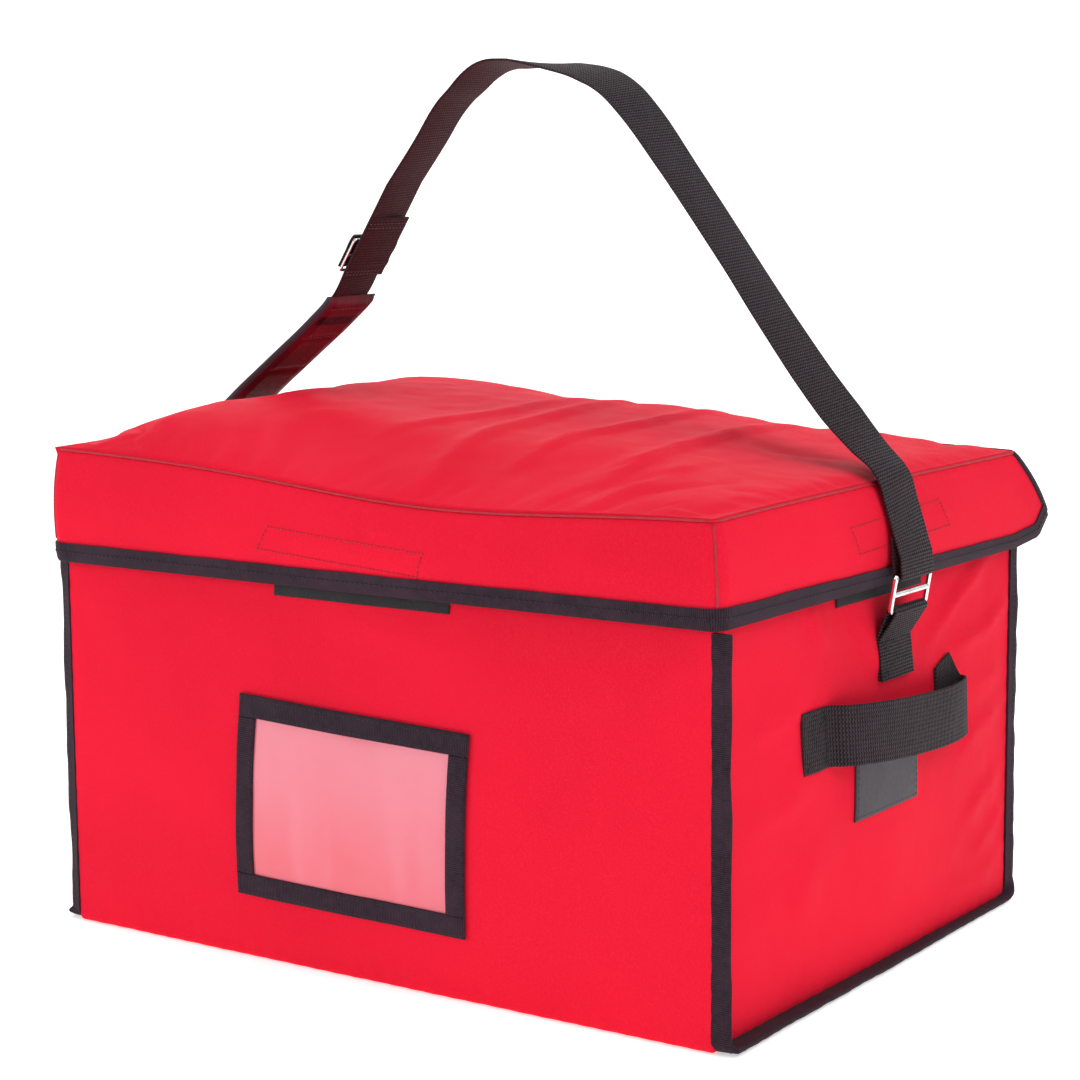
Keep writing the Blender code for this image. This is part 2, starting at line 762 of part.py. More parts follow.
def build_anchor_tab(name, side):
    """Webbing folded round the ring's lower bar, both layers sewn to the side panel."""
    low, high = ring_bars(1)
    bend = WIRE + CLEAR + WEBBING / 2
    inner = CLEAR + WEBBING / 2
    outer = inner + WEBBING + CLEAR
    heights = (TAB_LOW, between(TAB_LOW, TAB_BEND, 0.5), TAB_BEND)
    up = [(side_place(1, TAB_Y, z, outer).x, z) for z in heights]
    down = [(side_place(1, TAB_Y, z, inner).x, z) for z in reversed(heights)]
    slope = math.degrees(math.atan2(low.z - TAB_BEND, low.x - up[-1][0]))
    turn = arc((low.x, low.z), bend, slope - 90, slope + 90, 7)
    line = [Vector((side * x, TAB_Y, z)) for x, z in up + turn + down]
    ribbon(name, line, (0.0, 1.0, 0.0), WEB_WIDTH, WEBBING, finish_web())


def strap_line():
    """Centreline of the strap between its two end loops, straight along the adjuster's leg."""
    leg = [(between(LEG_TOP[0], LEG_LOW[0], t), STRAP_Y, between(LEG_TOP[1], LEG_LOW[1], t)) for t in (0, 1)]
    right = smooth(list(STRAP_RIGHT) + leg[:1], 44)
    left = smooth(leg[1:] + list(STRAP_LEFT), 26)
    return right, left


def end_loop(side):
    """The strap's end round the ring's upper bar, from its outer layer to the short inner layer."""
    bend = WIRE + CLEAR + WEBBING / 2
    x, z = RING_HIGH
    turn = arc((x, z), bend, 0, -180, 7)
    tail_x = x - bend
    tail_top = (tail_x - WEBBING, STRAP_TAIL_Z)
    points = turn + [(tail_x, z + 2 * WIRE), tail_top]
    return [Vector((side * px, TAB_Y, pz)) for px, pz in points]


def build_strap(pivot):
    right, left = strap_line()
    line = list(reversed(end_loop(1))) + right + left + end_loop(-1)
    ribbon("strap_webbing", line, (0.0, 1.0, 0.0), WEB_WIDTH, WEBBING, finish_web(), pivot)
    build_pad(left, pivot)


def build_pad(left, pivot):
    """Padded sleeve on the inner side of the strap, following it over the lid's edge."""
    off = WEBBING / 2 + CLEAR + PAD_THICK / 2
    gone = 0.0
    line = []
    for i in range(1, len(left) - 1):
        if left[i].z > PAD_TOP_Z:
            continue
        gone += (left[i] - left[i - 1]).length
        if gone > PAD_LENGTH:
            break
        along = left[i + 1] - left[i - 1]
        inward = along.cross(Vector((0.0, 1.0, 0.0))).normalized()
        if inward.x < 0:
            inward = -inward
        line.append(left[i] + inward * off)
    red = material("pad", PAD_RED, 0.7)
    pad = ribbon("shoulder_pad", line, (0.0, 1.0, 0.0), PAD_WIDTH, PAD_THICK, red, pivot)
    bevel(pad, PAD_THICK / 4)


def leg_way():
    return Vector((LEG_TOP[0] - LEG_LOW[0], 0.0, LEG_TOP[1] - LEG_LOW[1])).normalized()


def build_adjuster(parent):
    """Flat metal frame with a middle bar, and the webbing's end sewn round that bar."""
    way = leg_way()
    inward = Vector((way.z, 0.0, -way.x))
    share = (ADJUSTER_Z - LEG_LOW[1]) / (LEG_TOP[1] - LEG_LOW[1])
    centre = Vector((between(LEG_LOW[0], LEG_TOP[0], share), STRAP_Y, ADJUSTER_Z))
    bend = ADJUSTER_BAR * math.sqrt(0.5) + CLEAR + WEBBING / 2
    lift = WEBBING / 2 + CLEAR + WEBBING / 2 + bend
    middle = centre + inward * lift
    pivot = empty("adjuster_axis", middle)
    pivot.parent = parent
    pivot.matrix_parent_inverse = parent.matrix_world.inverted()
    bpy.context.view_layer.update()

    def bar(name, along_low, along_high, y_low, y_high):
        data = box_mesh(name, (along_low, y_low, -ADJUSTER_BAR / 2), (along_high, y_high, ADJUSTER_BAR / 2))
        for vert in data.vertices:
            x, y, z = vert.co
            vert.co = middle + way * x + Vector((0.0, y, 0.0)) + inward * z
        data.flip_normals()
        return data

    half_l = ADJUSTER_LENGTH / 2
    half_w = ADJUSTER_WIDTH / 2
    frame = add("adjuster_frame", bar("frame", -half_l, half_l, -half_w, half_w), finish_metal(), pivot)
    for i, sign in enumerate((-1, 1)):
        low, high = sorted((sign * ADJUSTER_BAR / 2, sign * (half_l - ADJUSTER_BAR)))
        slot = helper(f"adjuster_slot_{i}",
                      bar("slot", low, high, -half_w + ADJUSTER_BAR, half_w - ADJUSTER_BAR))
        for vert in slot.data.vertices:
            toward = (vert.co - middle).dot(inward)
            vert.co += inward * toward
        combine(frame, slot, "DIFFERENCE")
    bevel(frame, ADJUSTER_BAR / 5)
    tail = half_l - ADJUSTER_BAR - 2 * CLEAR
    flat = [(tail, -bend), (0.0, -bend)] + arc((0.0, 0.0), bend, -90, -270, 7)[1:] + [(tail, bend)]
    line = [middle + way * a + inward * b for a, b in flat]
    ribbon("adjuster_loop", line, (0.0, 1.0, 0.0), WEB_WIDTH, WEBBING, finish_web(), pivot)


def build_lid(pivot):
    red = finish_red()
    tape = finish_tape()

    def cover(u, v, outer):
        x = between(-LID_HALF_WIDTH, LID_HALF_WIDTH, u)
        y = between(LID_FRONT, HALF_DEPTH, v)
        return Vector((x, y, lid_top(x, y) - (1 - outer) * FABRIC))

    slab("lid_cover", (22, 18), lambda u, v, s: cover(packed(u), packed(v), s), red, pivot, smooth=True)

    def front(u, v, outer):
        x = between(-LID_HALF_WIDTH, LID_HALF_WIDTH, u)
        return skirt_front(x, v, -(1 - outer) * FABRIC)

    slab("lid_skirt_front", (SKIRT_FRONT_CELLS, 6), front, red, pivot, smooth=True)
    for name, side in (("lid_skirt_right", 1), ("lid_skirt_left", -1)):
        def end(u, v, outer, side=side):
            return skirt_side(side, u, v, -(1 - outer) * FABRIC)

        slab(name, (SKIRT_SIDE_CELLS, 6), end, red, pivot, smooth=True)
    rim_top = WALL_TOP + CLEAR + TAPE
    liner_low = rim_top + CLEAR
    foam_low = liner_low + LINER + CLEAR
    reach_x = HALF_WIDTH - LID_FOAM_INSET
    reach_y = HALF_DEPTH - LID_FOAM_INSET
    box("lid_liner", (-reach_x, -reach_y, liner_low), (reach_x, reach_y, liner_low + LINER),
        finish_foil(), pivot)

    def foam(u, v, outer):
        x = between(-reach_x, reach_x, packed(u))
        y = between(-reach_y, reach_y, packed(v))
        return Vector((x, y, lid_top(x, y) - FABRIC - LID_FOAM_CLEAR if outer else foam_low))

    slab("lid_foam", (22, 18), foam, finish_foam(), pivot, smooth=True)
    build_lid_bindings(pivot, tape)
    build_hooks(pivot)


def packed(share):
    """Crowds grid lines towards both edges, where the lid's crown turns down."""
    return 0.5 - 0.5 * math.cos(math.pi * share)


def build_lid_bindings(pivot, tape):
    """Tape folded over the skirts' lower edge and free back ends, and a band on the lid's back edge."""
    leg = BINDING
    gap = CLEAR
    sides = [("left", a) for a in np.linspace(1, 0, SKIRT_SIDE_CELLS + 1)]
    fronts = [("front", t) for t in np.linspace(-1, 1, SKIRT_FRONT_CELLS + 1)]
    rights = [("right", a) for _, a in reversed(sides)]
    stations = sides[:-1] + fronts + rights[1:]

    def surface(station, share, off):
        kind, value = station
        if kind == "front":
            return skirt_front(value * LID_HALF_WIDTH, share, off)
        return skirt_side(1 if kind == "right" else -1, value, share, off)

    inner = -FABRIC - gap
    fold = TAPE + gap
    section = ((inner, leg), (inner, leg / 2), (inner, 0.0), (gap, 0.0), (gap, leg / 2), (gap, leg))

    def place(u, v, outer):
        station = stations[round(u * (len(stations) - 1))]
        corner = station[0] == "front" and abs(station[1]) == 1
        i = round(v * 5)
        off, rise = section[i]
        tall = (surface(station, 1.0, 0.0) - surface(station, 0.0, 0.0)).length
        share = rise / tall
        thick = TAPE * outer
        out = off + thick if i > 2 else off - thick
        drop = fold - TAPE + thick if i in (2, 3) else 0.0
        point = surface(station, share, out)
        if corner:
            point.x += out * float(station[1])
        point.z -= drop
        return point

    slab("lid_edge_binding", (len(stations) - 1, 5), place, tape, pivot)

    def back(u, v, outer):
        x = between(-HALF_WIDTH, HALF_WIDTH, u)
        z = between(HINGE_Z + CLEAR, seam_z(x, HALF_DEPTH), v)
        return Vector((x, HALF_DEPTH + gap + outer * TAPE, z))

    slab("lid_back_binding", (10, 2), back, tape, pivot)


def build_hooks(pivot):
    web = finish_web()
    off = -FABRIC - CLEAR

    def height_share(z):
        return (z - SKIRT_LOW) / (seam_z(0.0, LID_FRONT) - SKIRT_LOW)

    low = height_share(HOOK_Z - HOOK_HEIGHT / 2)
    high = height_share(HOOK_Z + HOOK_HEIGHT / 2)

    def front(u, v, outer):
        return skirt_front(between(*HOOK_FRONT, u), between(low, high, v), off - TAPE * outer)

    slab("front_hook_strip", (6, 3), front, web, pivot)
    length = SKIRT_BACK_START - LID_FRONT
    shares = [SKIRT_BEND_SHARES[1] * (y - LID_FRONT) / length for y in HOOK_SIDE]
    for name, side in (("right_hook_strip", 1), ("left_hook_strip", -1)):
        def end(u, v, outer, side=side):
            return skirt_side(side, between(*shares, u), between(low, high, v), off - TAPE * outer)

        slab(name, (6, 3), end, web, pivot)


def build_hinge_strip():
    """Fabric sewn to the back wall below and to the lid's back edge above."""
    near = HALF_DEPTH + 2 * CLEAR + TAPE
    box("hinge_strip", (-HINGE_STRIP_WIDTH / 2, near, HINGE_STRIP_LOW),
        (HINGE_STRIP_WIDTH / 2, near + TAPE, HINGE_Z - CLEAR), finish_red())


def main():
    build_wrap()
    build_side_panel("side_panel_right", 1)
    build_side_panel("side_panel_left", -1)
    build_walls()
    build_side_binding("side_binding_right", 1)
    build_side_binding("side_binding_left", -1)
    build_loops()
    build_window()
    patch_side("label_patch", 1, (LABEL_Y - LABEL_WIDTH / 2, LABEL_Z - LABEL_HEIGHT / 2),
               (LABEL_Y + LABEL_WIDTH / 2, LABEL_Z + LABEL_HEIGHT / 2), CLEAR, TAPE, finish_web())
    build_hinge_strip()
    swing = empty("strap_axis", (0.0, TAB_Y, (RING_LOW[1] + RING_HIGH[1]) / 2))
    for word, side in (("right", 1), ("left", -1)):
        build_handle(word, side)
        build_anchor_tab(f"anchor_tab_{word}", side)
        build_ring(f"ring_{word}", side, swing)
    build_strap(swing)
    build_adjuster(swing)
    build_lid(empty("lid_axis", (0.0, HINGE_Y, HINGE_Z)))


clear_scene()
BAG = new_collection("insulated_delivery_bag")
HELPERS = new_collection("cutters")
HELPERS.hide_render = True
main()
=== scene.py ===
"""Dresses the insulated delivery bag: sagging fabric body, puffy lid, bindings, webbing, window, stitches.

Lengths are in metres: X to the bag's right, -Y its front, +Z up, floor at zero.
"""

import math

import bmesh
import bpy
import numpy as np
from mathutils import Matrix, Vector, noise


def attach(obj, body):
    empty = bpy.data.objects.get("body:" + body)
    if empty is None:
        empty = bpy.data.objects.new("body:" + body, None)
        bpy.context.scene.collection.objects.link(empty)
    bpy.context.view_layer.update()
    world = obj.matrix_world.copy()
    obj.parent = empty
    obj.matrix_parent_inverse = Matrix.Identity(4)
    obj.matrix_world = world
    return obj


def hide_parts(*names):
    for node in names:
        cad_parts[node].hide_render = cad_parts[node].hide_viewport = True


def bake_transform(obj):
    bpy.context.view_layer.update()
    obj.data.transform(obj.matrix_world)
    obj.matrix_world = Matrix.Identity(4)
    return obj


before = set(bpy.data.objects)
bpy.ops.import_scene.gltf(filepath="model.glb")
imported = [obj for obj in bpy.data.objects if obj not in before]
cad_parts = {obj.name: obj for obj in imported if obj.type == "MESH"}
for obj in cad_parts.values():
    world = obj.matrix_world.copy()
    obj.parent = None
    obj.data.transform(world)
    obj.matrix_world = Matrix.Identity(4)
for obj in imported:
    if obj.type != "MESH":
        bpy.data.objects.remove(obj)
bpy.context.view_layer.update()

bl_info = {
    "name": "Insulated delivery bag",
    "version": (1, 0, 0),
    "blender": (4, 5, 0),
    "location": "3D View > Sidebar > Delivery bag",
    "description": "Makes the dressed pieces of an insulated delivery bag round its solid model",
    "category": "Object",
}

# Sizes that the solid model is built to
CLEAR = 0.0003
FABRIC = 0.0015
TAPE = 0.0010
WEBBING = 0.0015
WEB_WIDTH = 0.038
HANDLE_WIDTH = 0.0335
BINDING = 0.0105
BODY_WIDTH = 0.4494
BODY_DEPTH = 0.3486
HALF_WIDTH = BODY_WIDTH / 2
HALF_DEPTH = BODY_DEPTH / 2
WALL_TOP = 0.2700
SWELL_TOP = 0.2180
FRONT_SWELL = 0.0090
BACK_SWELL = 0.0060
SIDE_SWELL = 0.0080
FIN_TOP = 0.2190
FIN_THICK = 0.0030
FIN_OUT = 0.0087
BASE_FIN_FRONT = 0.0112
BASE_FIN_BACK = 0.0060
LOOP_HEIGHT = 0.038
FRONT_LOOP_Z = 0.2140
SIDE_LOOP_Z = 0.2180
LOOP_SHOW = 0.0040
FRONT_LOOP = (-0.062, 0.060)
SIDE_LOOP = (-0.048, 0.052)
HINGE_STRIP_LOW = 0.2540
HINGE_STRIP_WIDTH = 0.430
HINGE_Z = 0.2730
WINDOW_X = -0.0064
WINDOW_Z = 0.0977
WINDOW_WIDTH = 0.1620
WINDOW_HEIGHT = 0.1130
WINDOW_TAPE = 0.0125
WINDOW_SHEET = 0.0006
WINDOW_LEAN_SHARE = 0.055
WINDOW_TAPER_SHARE = 0.044
WINDOW_SAG = 0.0065
HANDLE_Z = 0.1473
HANDLE_FRONT = -0.0935
HANDLE_CREASE = -0.0640
HANDLE_CUT = -0.0560
HANDLE_REAR_CUT = 0.0765
HANDLE_REAR = 0.0870
HANDLE_REAR_TAB = 0.0620
HANDLE_SAG = 0.0078
HANDLE_OFF = 0.0150
HANDLE_RISE = 0.0085
LABEL_Y = -0.0017
LABEL_Z = 0.1168
LABEL_WIDTH = 0.0740
LABEL_HEIGHT = 0.0450
TAB_Y = 0.0105
TAB_LOW = 0.1675
TAB_BEND = 0.1900
RING_LOW = (0.2383, 0.2065)
RING_HIGH = (0.2418, 0.2270)
WIRE = 0.0015
SKIRT_SIDE_OUT = 0.0031
SKIRT_FRONT_OUT = 0.0048
SKIRT_FLARE_FRONT = 0.0024
SKIRT_FLARE_BACK = 0.0050
SKIRT_CORNER_SWELL = 0.0030
SKIRT_LOW = 0.2220
SKIRT_SWELL = 0.0060
SKIRT_BACK_END = 0.1710
SKIRT_BACK_LOW = (0.2080, 0.2360)
SKIRT_BACK_FOOT = (0.1960, 0.2250)
SKIRT_BACK_START = 0.1640
SEAM_FRONT_LEFT = 0.2890
SEAM_FRONT_RIGHT = 0.2790
SEAM_BACK_LEFT = 0.2920
SEAM_BACK_RIGHT = 0.2785
SEAM_DIP = 0.0110
SEAM_DIP_X = 0.0500
SEAM_DIP_SPAN = 0.1300
LID_HALF_WIDTH = HALF_WIDTH + SKIRT_SIDE_OUT
LID_FRONT = -(HALF_DEPTH + SKIRT_FRONT_OUT)
STRAP_Y = -0.0030
STRAP_RIGHT = (
    (0.2436, 0.0105, 0.2370),
    (0.2402, 0.0100, 0.2480),
    (0.2354, 0.0080, 0.2660),
    (0.2308, 0.0060, 0.2815),
    (0.2150, 0.0045, 0.2977),
    (0.1916, 0.0030, 0.3236),
    (0.1632, 0.0015, 0.3600),
    (0.1341, -0.0010, 0.4009),
    (0.0967, -0.0030, 0.4510),
    (0.0690, -0.0030, 0.4845),
    (0.0560, -0.0030, 0.4960),
    (0.0420, -0.0030, 0.5030),
    (0.0240, -0.0030, 0.5076),
    (0.0029, -0.0030, 0.5102),
    (-0.0150, -0.0030, 0.5110),
    (-0.0290, -0.0030, 0.5100),
    (-0.0400, -0.0030, 0.5050),
    (-0.0500, -0.0030, 0.4970),
    (-0.0610, -0.0030, 0.4880),
    (-0.0800, -0.0030, 0.4640),
)
LEG_TOP = (-0.0873, 0.4590)
LEG_LOW = (-0.1310, 0.3910)
LEG_STRAIGHT = (-0.0987, 0.4412)
STRAP_LEFT = (
    (-0.1420, -0.0030, 0.3735),
    (-0.1570, -0.0030, 0.3600),
    (-0.1920, -0.0030, 0.3334),
    (-0.2260, -0.0020, 0.3080),
    (-0.2420, 0.0000, 0.2950),
    (-0.2485, 0.0020, 0.2820),
    (-0.2485, 0.0055, 0.2680),
    (-0.2455, 0.0090, 0.2490),
    (-0.2436, 0.0105, 0.2370),
)
STRAP_TAIL_Z = 0.2490
PAD_LENGTH = 0.1700
PAD_WIDTH = 0.0470
PAD_THICK = 0.0050
PAD_TOP_Z = 0.3740
ADJUSTER_Z = 0.3970
ADJUSTER_LENGTH = 0.0200
ADJUSTER_WIRE = 0.0010

# Turn of the strap's width about its length, in degrees, by its place across the bag
STRAP_TWIST_X = (-0.20, -0.14, -0.07, -0.045, -0.020, -0.008, 0.018, 0.045, 0.075, 0.10, 0.14, 0.20, 0.225)
STRAP_TWIST = (0, -4, -5, 0, 6, 5, -5, -10, -7, -4, -3, -8, 0)
STRAP_TWIST_LOW = 0.285
# Dark red painted on the strap's underside: painted bounce light from the red bag
STRAP_UNDERSIDE_BOUNCE = (0.045, 0.006, 0.010)

# Sewing: how far rows lie from the edge of tape and of webbing, and the boxes that hold the hook strips
TAPE_ROW_INSET = 0.0022
WEBBING_ROW_INSET = 0.003
FRONT_BOX = ((-0.058, 0.254), (0.0495, 0.247), (0.0446, 0.234), (-0.066, 0.241))
SIDE_BOX = ((-0.0477, 0.258), (0.0583, 0.262), (0.0683, 0.2465), (-0.0397, 0.243))

# Fold of the tape on the skirts' lower edge: distance out, share of the tape's width up, drop
LID_TAPE_SECTION = (
    (CLEAR, 1.0, 0.0), (0.0011, 1.0, 0.0), (0.0015, 0.5, 0.0), (0.0014, 0.0, 0.0), (0.0006, 0.0, -0.0011),
    (-0.0010, 0.0, -0.0015), (-0.0024, 0.0, -0.0009), (-0.0030, 0.0, 0.0), (-0.0030, 0.5, 0.0),
    (-0.0028, 1.0, 0.0), (-0.0018, 1.0, 0.0), (-0.0018, 0.0, 0.0), (CLEAR, 0.0, 0.0),
)
END_TAPE_WIDTH = 0.0046
END_TAPE_THICK = 0.0036
BACK_TAPE_HEIGHT = 0.018
SIDE_TAPE_ROOT = -0.0022

# Spacing of the stations along the skirts, steps round each corner, and the skirts' cloth height
SKIRT_STEP = 0.0040
CORNER_STEPS = 5
SKIRT_CLOTH = 0.062

# The handle's bow as shares of its run and of its rise, its sewn rear end's height by the run past the
# fold, and where its bending starts and ends outside the panel
HANDLE_BOW = ((0.08, 0.5), (0.25, 0.85), (0.5, 1.0), (0.75, 1.0), (0.92, 0.85))
HANDLE_END_RUN = (0, 0.008, 0.030)
HANDLE_END_RISE = (-HANDLE_SAG, 0.0062, -0.0020)

# Webbing end sewn round the adjuster's bar: distance along the leg and lift off the strap; its stitch rows
ADJUSTER_PATH = ((0.0290, 0.0), (0.0200, 0.0), (0.0125, 0.0), (0.0080, 0.0005), (0.0, 0.0), (-0.0040, 0.0005),
                 (-0.0080, 0.0), (-0.0110, 0.0), (-0.0130, 0.0))
ADJUSTER_ROWS = (-0.0118, -0.0098, 0.0220, 0.0250)
ADJUSTER_ROW_HALF = 0.017

# The pad's rolled edge and its sewn channels: width and depth of each
PAD_EDGE = 0.005
PAD_SEAM_WIDTH = 0.0016
PAD_SEAM_DEPTH = 0.0013
PAD_ROLL_AT = 0.0055
PAD_ROLL = 0.0012
PAD_ROW_INSET = 0.008

# Pitches of the ribs in tape and webbing, and of the webbing's columns
TAPE_RIB = 0.0011
WEBBING_RIB = 0.0019
WEBBING_COLUMN = 0.0024
TAPE_PUFF = 0.0003
LABEL_THICK = TAPE + 0.0002
BODY_STEP = 0.0036

# Camera that matches the photograph: place, turns in degrees and lens in millimetres
CAMERA_PLACE = (0.8923, -1.2873, 0.4519)
CAMERA_TURN = 34.79
CAMERA_PITCH = 8.12
CAMERA_ROLL = -0.48
CAMERA_LENS = 87.68

# Ridges and hollows of the slack cloth: points along each on its panel, half width, height
FRONT_CREASES = (
    (((0.215, 0.214), (0.170, 0.150)), 0.010, 0.0012),
    (((-0.215, 0.212), (-0.165, 0.165)), 0.012, 0.0010),
    (((-0.020, 0.205), (0.060, 0.195)), 0.009, 0.0010),
    (((0.215, 0.012), (0.150, 0.060)), 0.014, 0.0012),
    (((-0.210, 0.012), (-0.150, 0.050)), 0.014, 0.0012),
    (((0.100, 0.150), (0.180, 0.080)), 0.022, -0.0012),
)
RIGHT_CREASES = (
    (((0.168, 0.190), (0.131, 0.176), (0.079, 0.172)), 0.0045, 0.0036),
    (((0.150, 0.222), (0.100, 0.203), (0.050, 0.178)), 0.0045, 0.0036),
    (((0.164, 0.150), (0.126, 0.146), (0.100, 0.150)), 0.0050, 0.0022),
    (((0.168, 0.127), (0.114, 0.117), (0.090, 0.102)), 0.0060, 0.0024),
    (((0.167, 0.086), (0.136, 0.077), (0.100, 0.062)), 0.0065, 0.0026),
    (((0.170, 0.066), (0.150, 0.052), (0.120, 0.040)), 0.0050, 0.0018),
    (((0.170, 0.036), (0.131, 0.022), (0.066, 0.027)), 0.0070, 0.0022),
    (((-0.153, 0.157), (-0.116, 0.161), (-0.080, 0.170)), 0.0070, 0.0022),
    (((-0.154, 0.109), (-0.105, 0.118), (-0.080, 0.130)), 0.0090, 0.0022),
    (((-0.080, 0.219), (-0.072, 0.206), (-0.060, 0.192)), 0.0050, 0.0026),
    (((-0.030, 0.212), (-0.016, 0.184), (0.004, 0.168)), 0.0070, 0.0020),
    (((-0.155, 0.060), (-0.105, 0.064), (-0.070, 0.052)), 0.0100, 0.0020),
    (((-0.060, 0.100), (-0.110, 0.050)), 0.0140, 0.0016),
)
LEFT_CREASES = (
    (((0.130, 0.215), (0.060, 0.180)), 0.0070, 0.0016),
    (((-0.120, 0.215), (-0.060, 0.185)), 0.0070, 0.0016),
    (((0.120, 0.030), (0.060, 0.080)), 0.0110, 0.0016),
    (((-0.130, 0.030), (-0.080, 0.070)), 0.0110, 0.0014),
)
BACK_CREASES = (
    (((0.200, 0.020), (0.120, 0.080)), 0.0140, 0.0014),
    (((-0.200, 0.020), (-0.110, 0.070)), 0.0140, 0.0014),
    (((0.190, 0.240), (0.120, 0.190)), 0.0120, 0.0012),
    (((-0.190, 0.240), (-0.130, 0.200)), 0.0120, 0.0012),
)
LID_CREASES = (
    (((-0.043, -0.130), (-0.028, -0.058), (-0.020, -0.004), (-0.031, 0.110)), 0.0060, 0.0026),
    (((0.052, -0.178), (0.039, -0.160), (0.027, -0.133), (0.018, -0.074), (0.011, 0.016), (-0.010, 0.130)),
     0.0065, 0.0034),
    (((0.048, -0.179), (0.060, -0.150)), 0.0060, -0.0026),
    (((0.070, -0.145), (0.064, -0.061), (0.069, 0.003), (0.060, 0.110)), 0.0050, 0.0032),
    (((0.129, -0.168), (0.130, -0.113), (0.121, -0.028), (0.118, 0.100)), 0.0050, 0.0034),
    (((0.148, -0.174), (0.154, -0.117), (0.153, -0.050)), 0.0070, 0.0022),
    (((0.141, 0.000), (0.169, 0.005), (0.200, 0.024)), 0.0070, -0.0014),
    (((-0.140, -0.150), (-0.110, -0.040)), 0.0220, -0.0014),
    (((-0.200, -0.060), (-0.120, 0.020)), 0.0240, 0.0012),
)

SKIRT_CREASES = (
    (((0.006, 0.272), (0.004, 0.248)), 0.0040, -0.0016),
    (((0.016, 0.270), (0.020, 0.252)), 0.0045, 0.0014),
    (((-0.190, 0.262), (-0.120, 0.246)), 0.0120, 0.0010),
    (((0.120, 0.262), (0.190, 0.244)), 0.0120, 0.0010),
)

PAD_SEAMS = (0.05, 0.22, 0.435, 0.65)
# Dark band painted across the pad near its top: painted shade in the slot there
PAD_SLOT_SHADE = (0.0170, 0.0255)

BODY_RADIUS = 0.0030
FOOT_RADIUS = 0.0030
SKIRT_RADIUS = 0.0080


class BagSizes(bpy.types.PropertyGroup):
    """Sizes of the sewing and of the cloth's slack."""

    crease_share: bpy.props.FloatProperty(
        name="Crease strength", description="Height of the creases against the photographed ones",
        default=1.0, min=0.0, max=2.0, subtype="FACTOR")
    pucker_height: bpy.props.FloatProperty(
        name="Pucker height", description="Height of the small gathers beside a seam", default=0.0005,
        unit="LENGTH", subtype="DISTANCE")
    pucker_pitch: bpy.props.FloatProperty(
        name="Pucker pitch", description="Distance from one gather to the next", default=0.014,
        unit="LENGTH", subtype="DISTANCE")
    stitch_length: bpy.props.FloatProperty(
        name="Stitch length", description="Length of thread that shows in one stitch", default=0.0024,
        unit="LENGTH", subtype="DISTANCE")
    stitch_pitch: bpy.props.FloatProperty(
        name="Stitch pitch", description="Distance from one stitch to the next", default=0.0034,
        unit="LENGTH", subtype="DISTANCE")
    thread_width: bpy.props.FloatProperty(
        name="Thread width", description="Thickness of the sewing thread", default=0.0006,
        unit="LENGTH", subtype="DISTANCE")
    weave_pitch: bpy.props.FloatProperty(
        name="Weave pitch", description="Distance between the coated cloth's threads", default=0.0009,
        unit="LENGTH", subtype="DISTANCE")
    lid_pressure: bpy.props.FloatProperty(
        name="Lid pressure", description="Pressure that fills the lid's cushion while it is shaped",
        default=4.0)
    lid_rise: bpy.props.FloatProperty(
        name="Lid rise", description="Furthest that the pressure may move the lid's cloth", default=0.004,
        unit="LENGTH", subtype="DISTANCE")


class BagColours(bpy.types.PropertyGroup):
    """Colours of the bag's materials."""

    fabric: bpy.props.FloatVectorProperty(
        name="Coated fabric", description="Main colour of the cloth", default=(0.80, 0.010, 0.036),
        min=0.0, max=1.0, subtype="COLOR")
    tape: bpy.props.FloatVectorProperty(
        name="Binding tape", description="Colour of the bindings", default=(0.027, 0.015, 0.023),
        min=0.0, max=1.0, subtype="COLOR")
    webbing: bpy.props.FloatVectorProperty(
        name="Webbing", description="Colour of strap, tabs and handles", default=(0.021, 0.015, 0.018),
        min=0.0, max=1.0, subtype="COLOR")
    vinyl: bpy.props.FloatVectorProperty(
        name="Window", description="Colour of the window seen over the cloth", default=(0.79, 0.120, 0.155),
        min=0.0, max=1.0, subtype="COLOR")
    thread: bpy.props.FloatVectorProperty(
        name="Thread", description="Colour of the stitches on the cloth", default=(0.42, 0.006, 0.020),
        min=0.0, max=1.0, subtype="COLOR")
    floor: bpy.props.FloatVectorProperty(
        name="Floor", description="Colour of the studio floor", default=(0.985, 0.985, 0.985),
        min=0.0, max=1.0, subtype="COLOR")


def sizes():
    return bpy.context.scene.bag_sizes


def colours():
    return bpy.context.scene.bag_colours


# Node trees


class Field:
    """A number's socket that adds Math nodes when it takes part in a sum."""

    def __init__(self, nodes, socket):
        self.nodes = nodes
        self.socket = socket

    def math(self, operation, *values):
        return self.nodes.add("ShaderNodeMath", {"operation": operation}, dict(enumerate(values)))[0]

    def __add__(self, other):
        return self.math("ADD", self, other)

    def __rsub__(self, other):
        return self.math("SUBTRACT", other, self)

    def __mul__(self, other):
        return self.math("MULTIPLY", self, other)

    def sine(self):
        return self.math("SINE", self)

    def size(self):
        return self.math("ABSOLUTE", self)

    def above(self, level):
        return self.math("GREATER_THAN", self, level)

    def ramp(self, low, high, start=0.0, stop=1.0):
        """Runs from start to stop while this number goes from low to high, and stays there beyond."""
        values = {"Value": self, 1: low, 2: high, 3: start, 4: stop}
        return self.nodes.add("ShaderNodeMapRange", {"interpolation_type": "SMOOTHSTEP"}, values)[0]


class Step:
    """A node in a tree; its outputs are read as fields."""

    def __init__(self, nodes, node):
        self.nodes = nodes
        self.node = node

    def __getitem__(self, key):
        return Field(self.nodes, self.node.outputs[key])


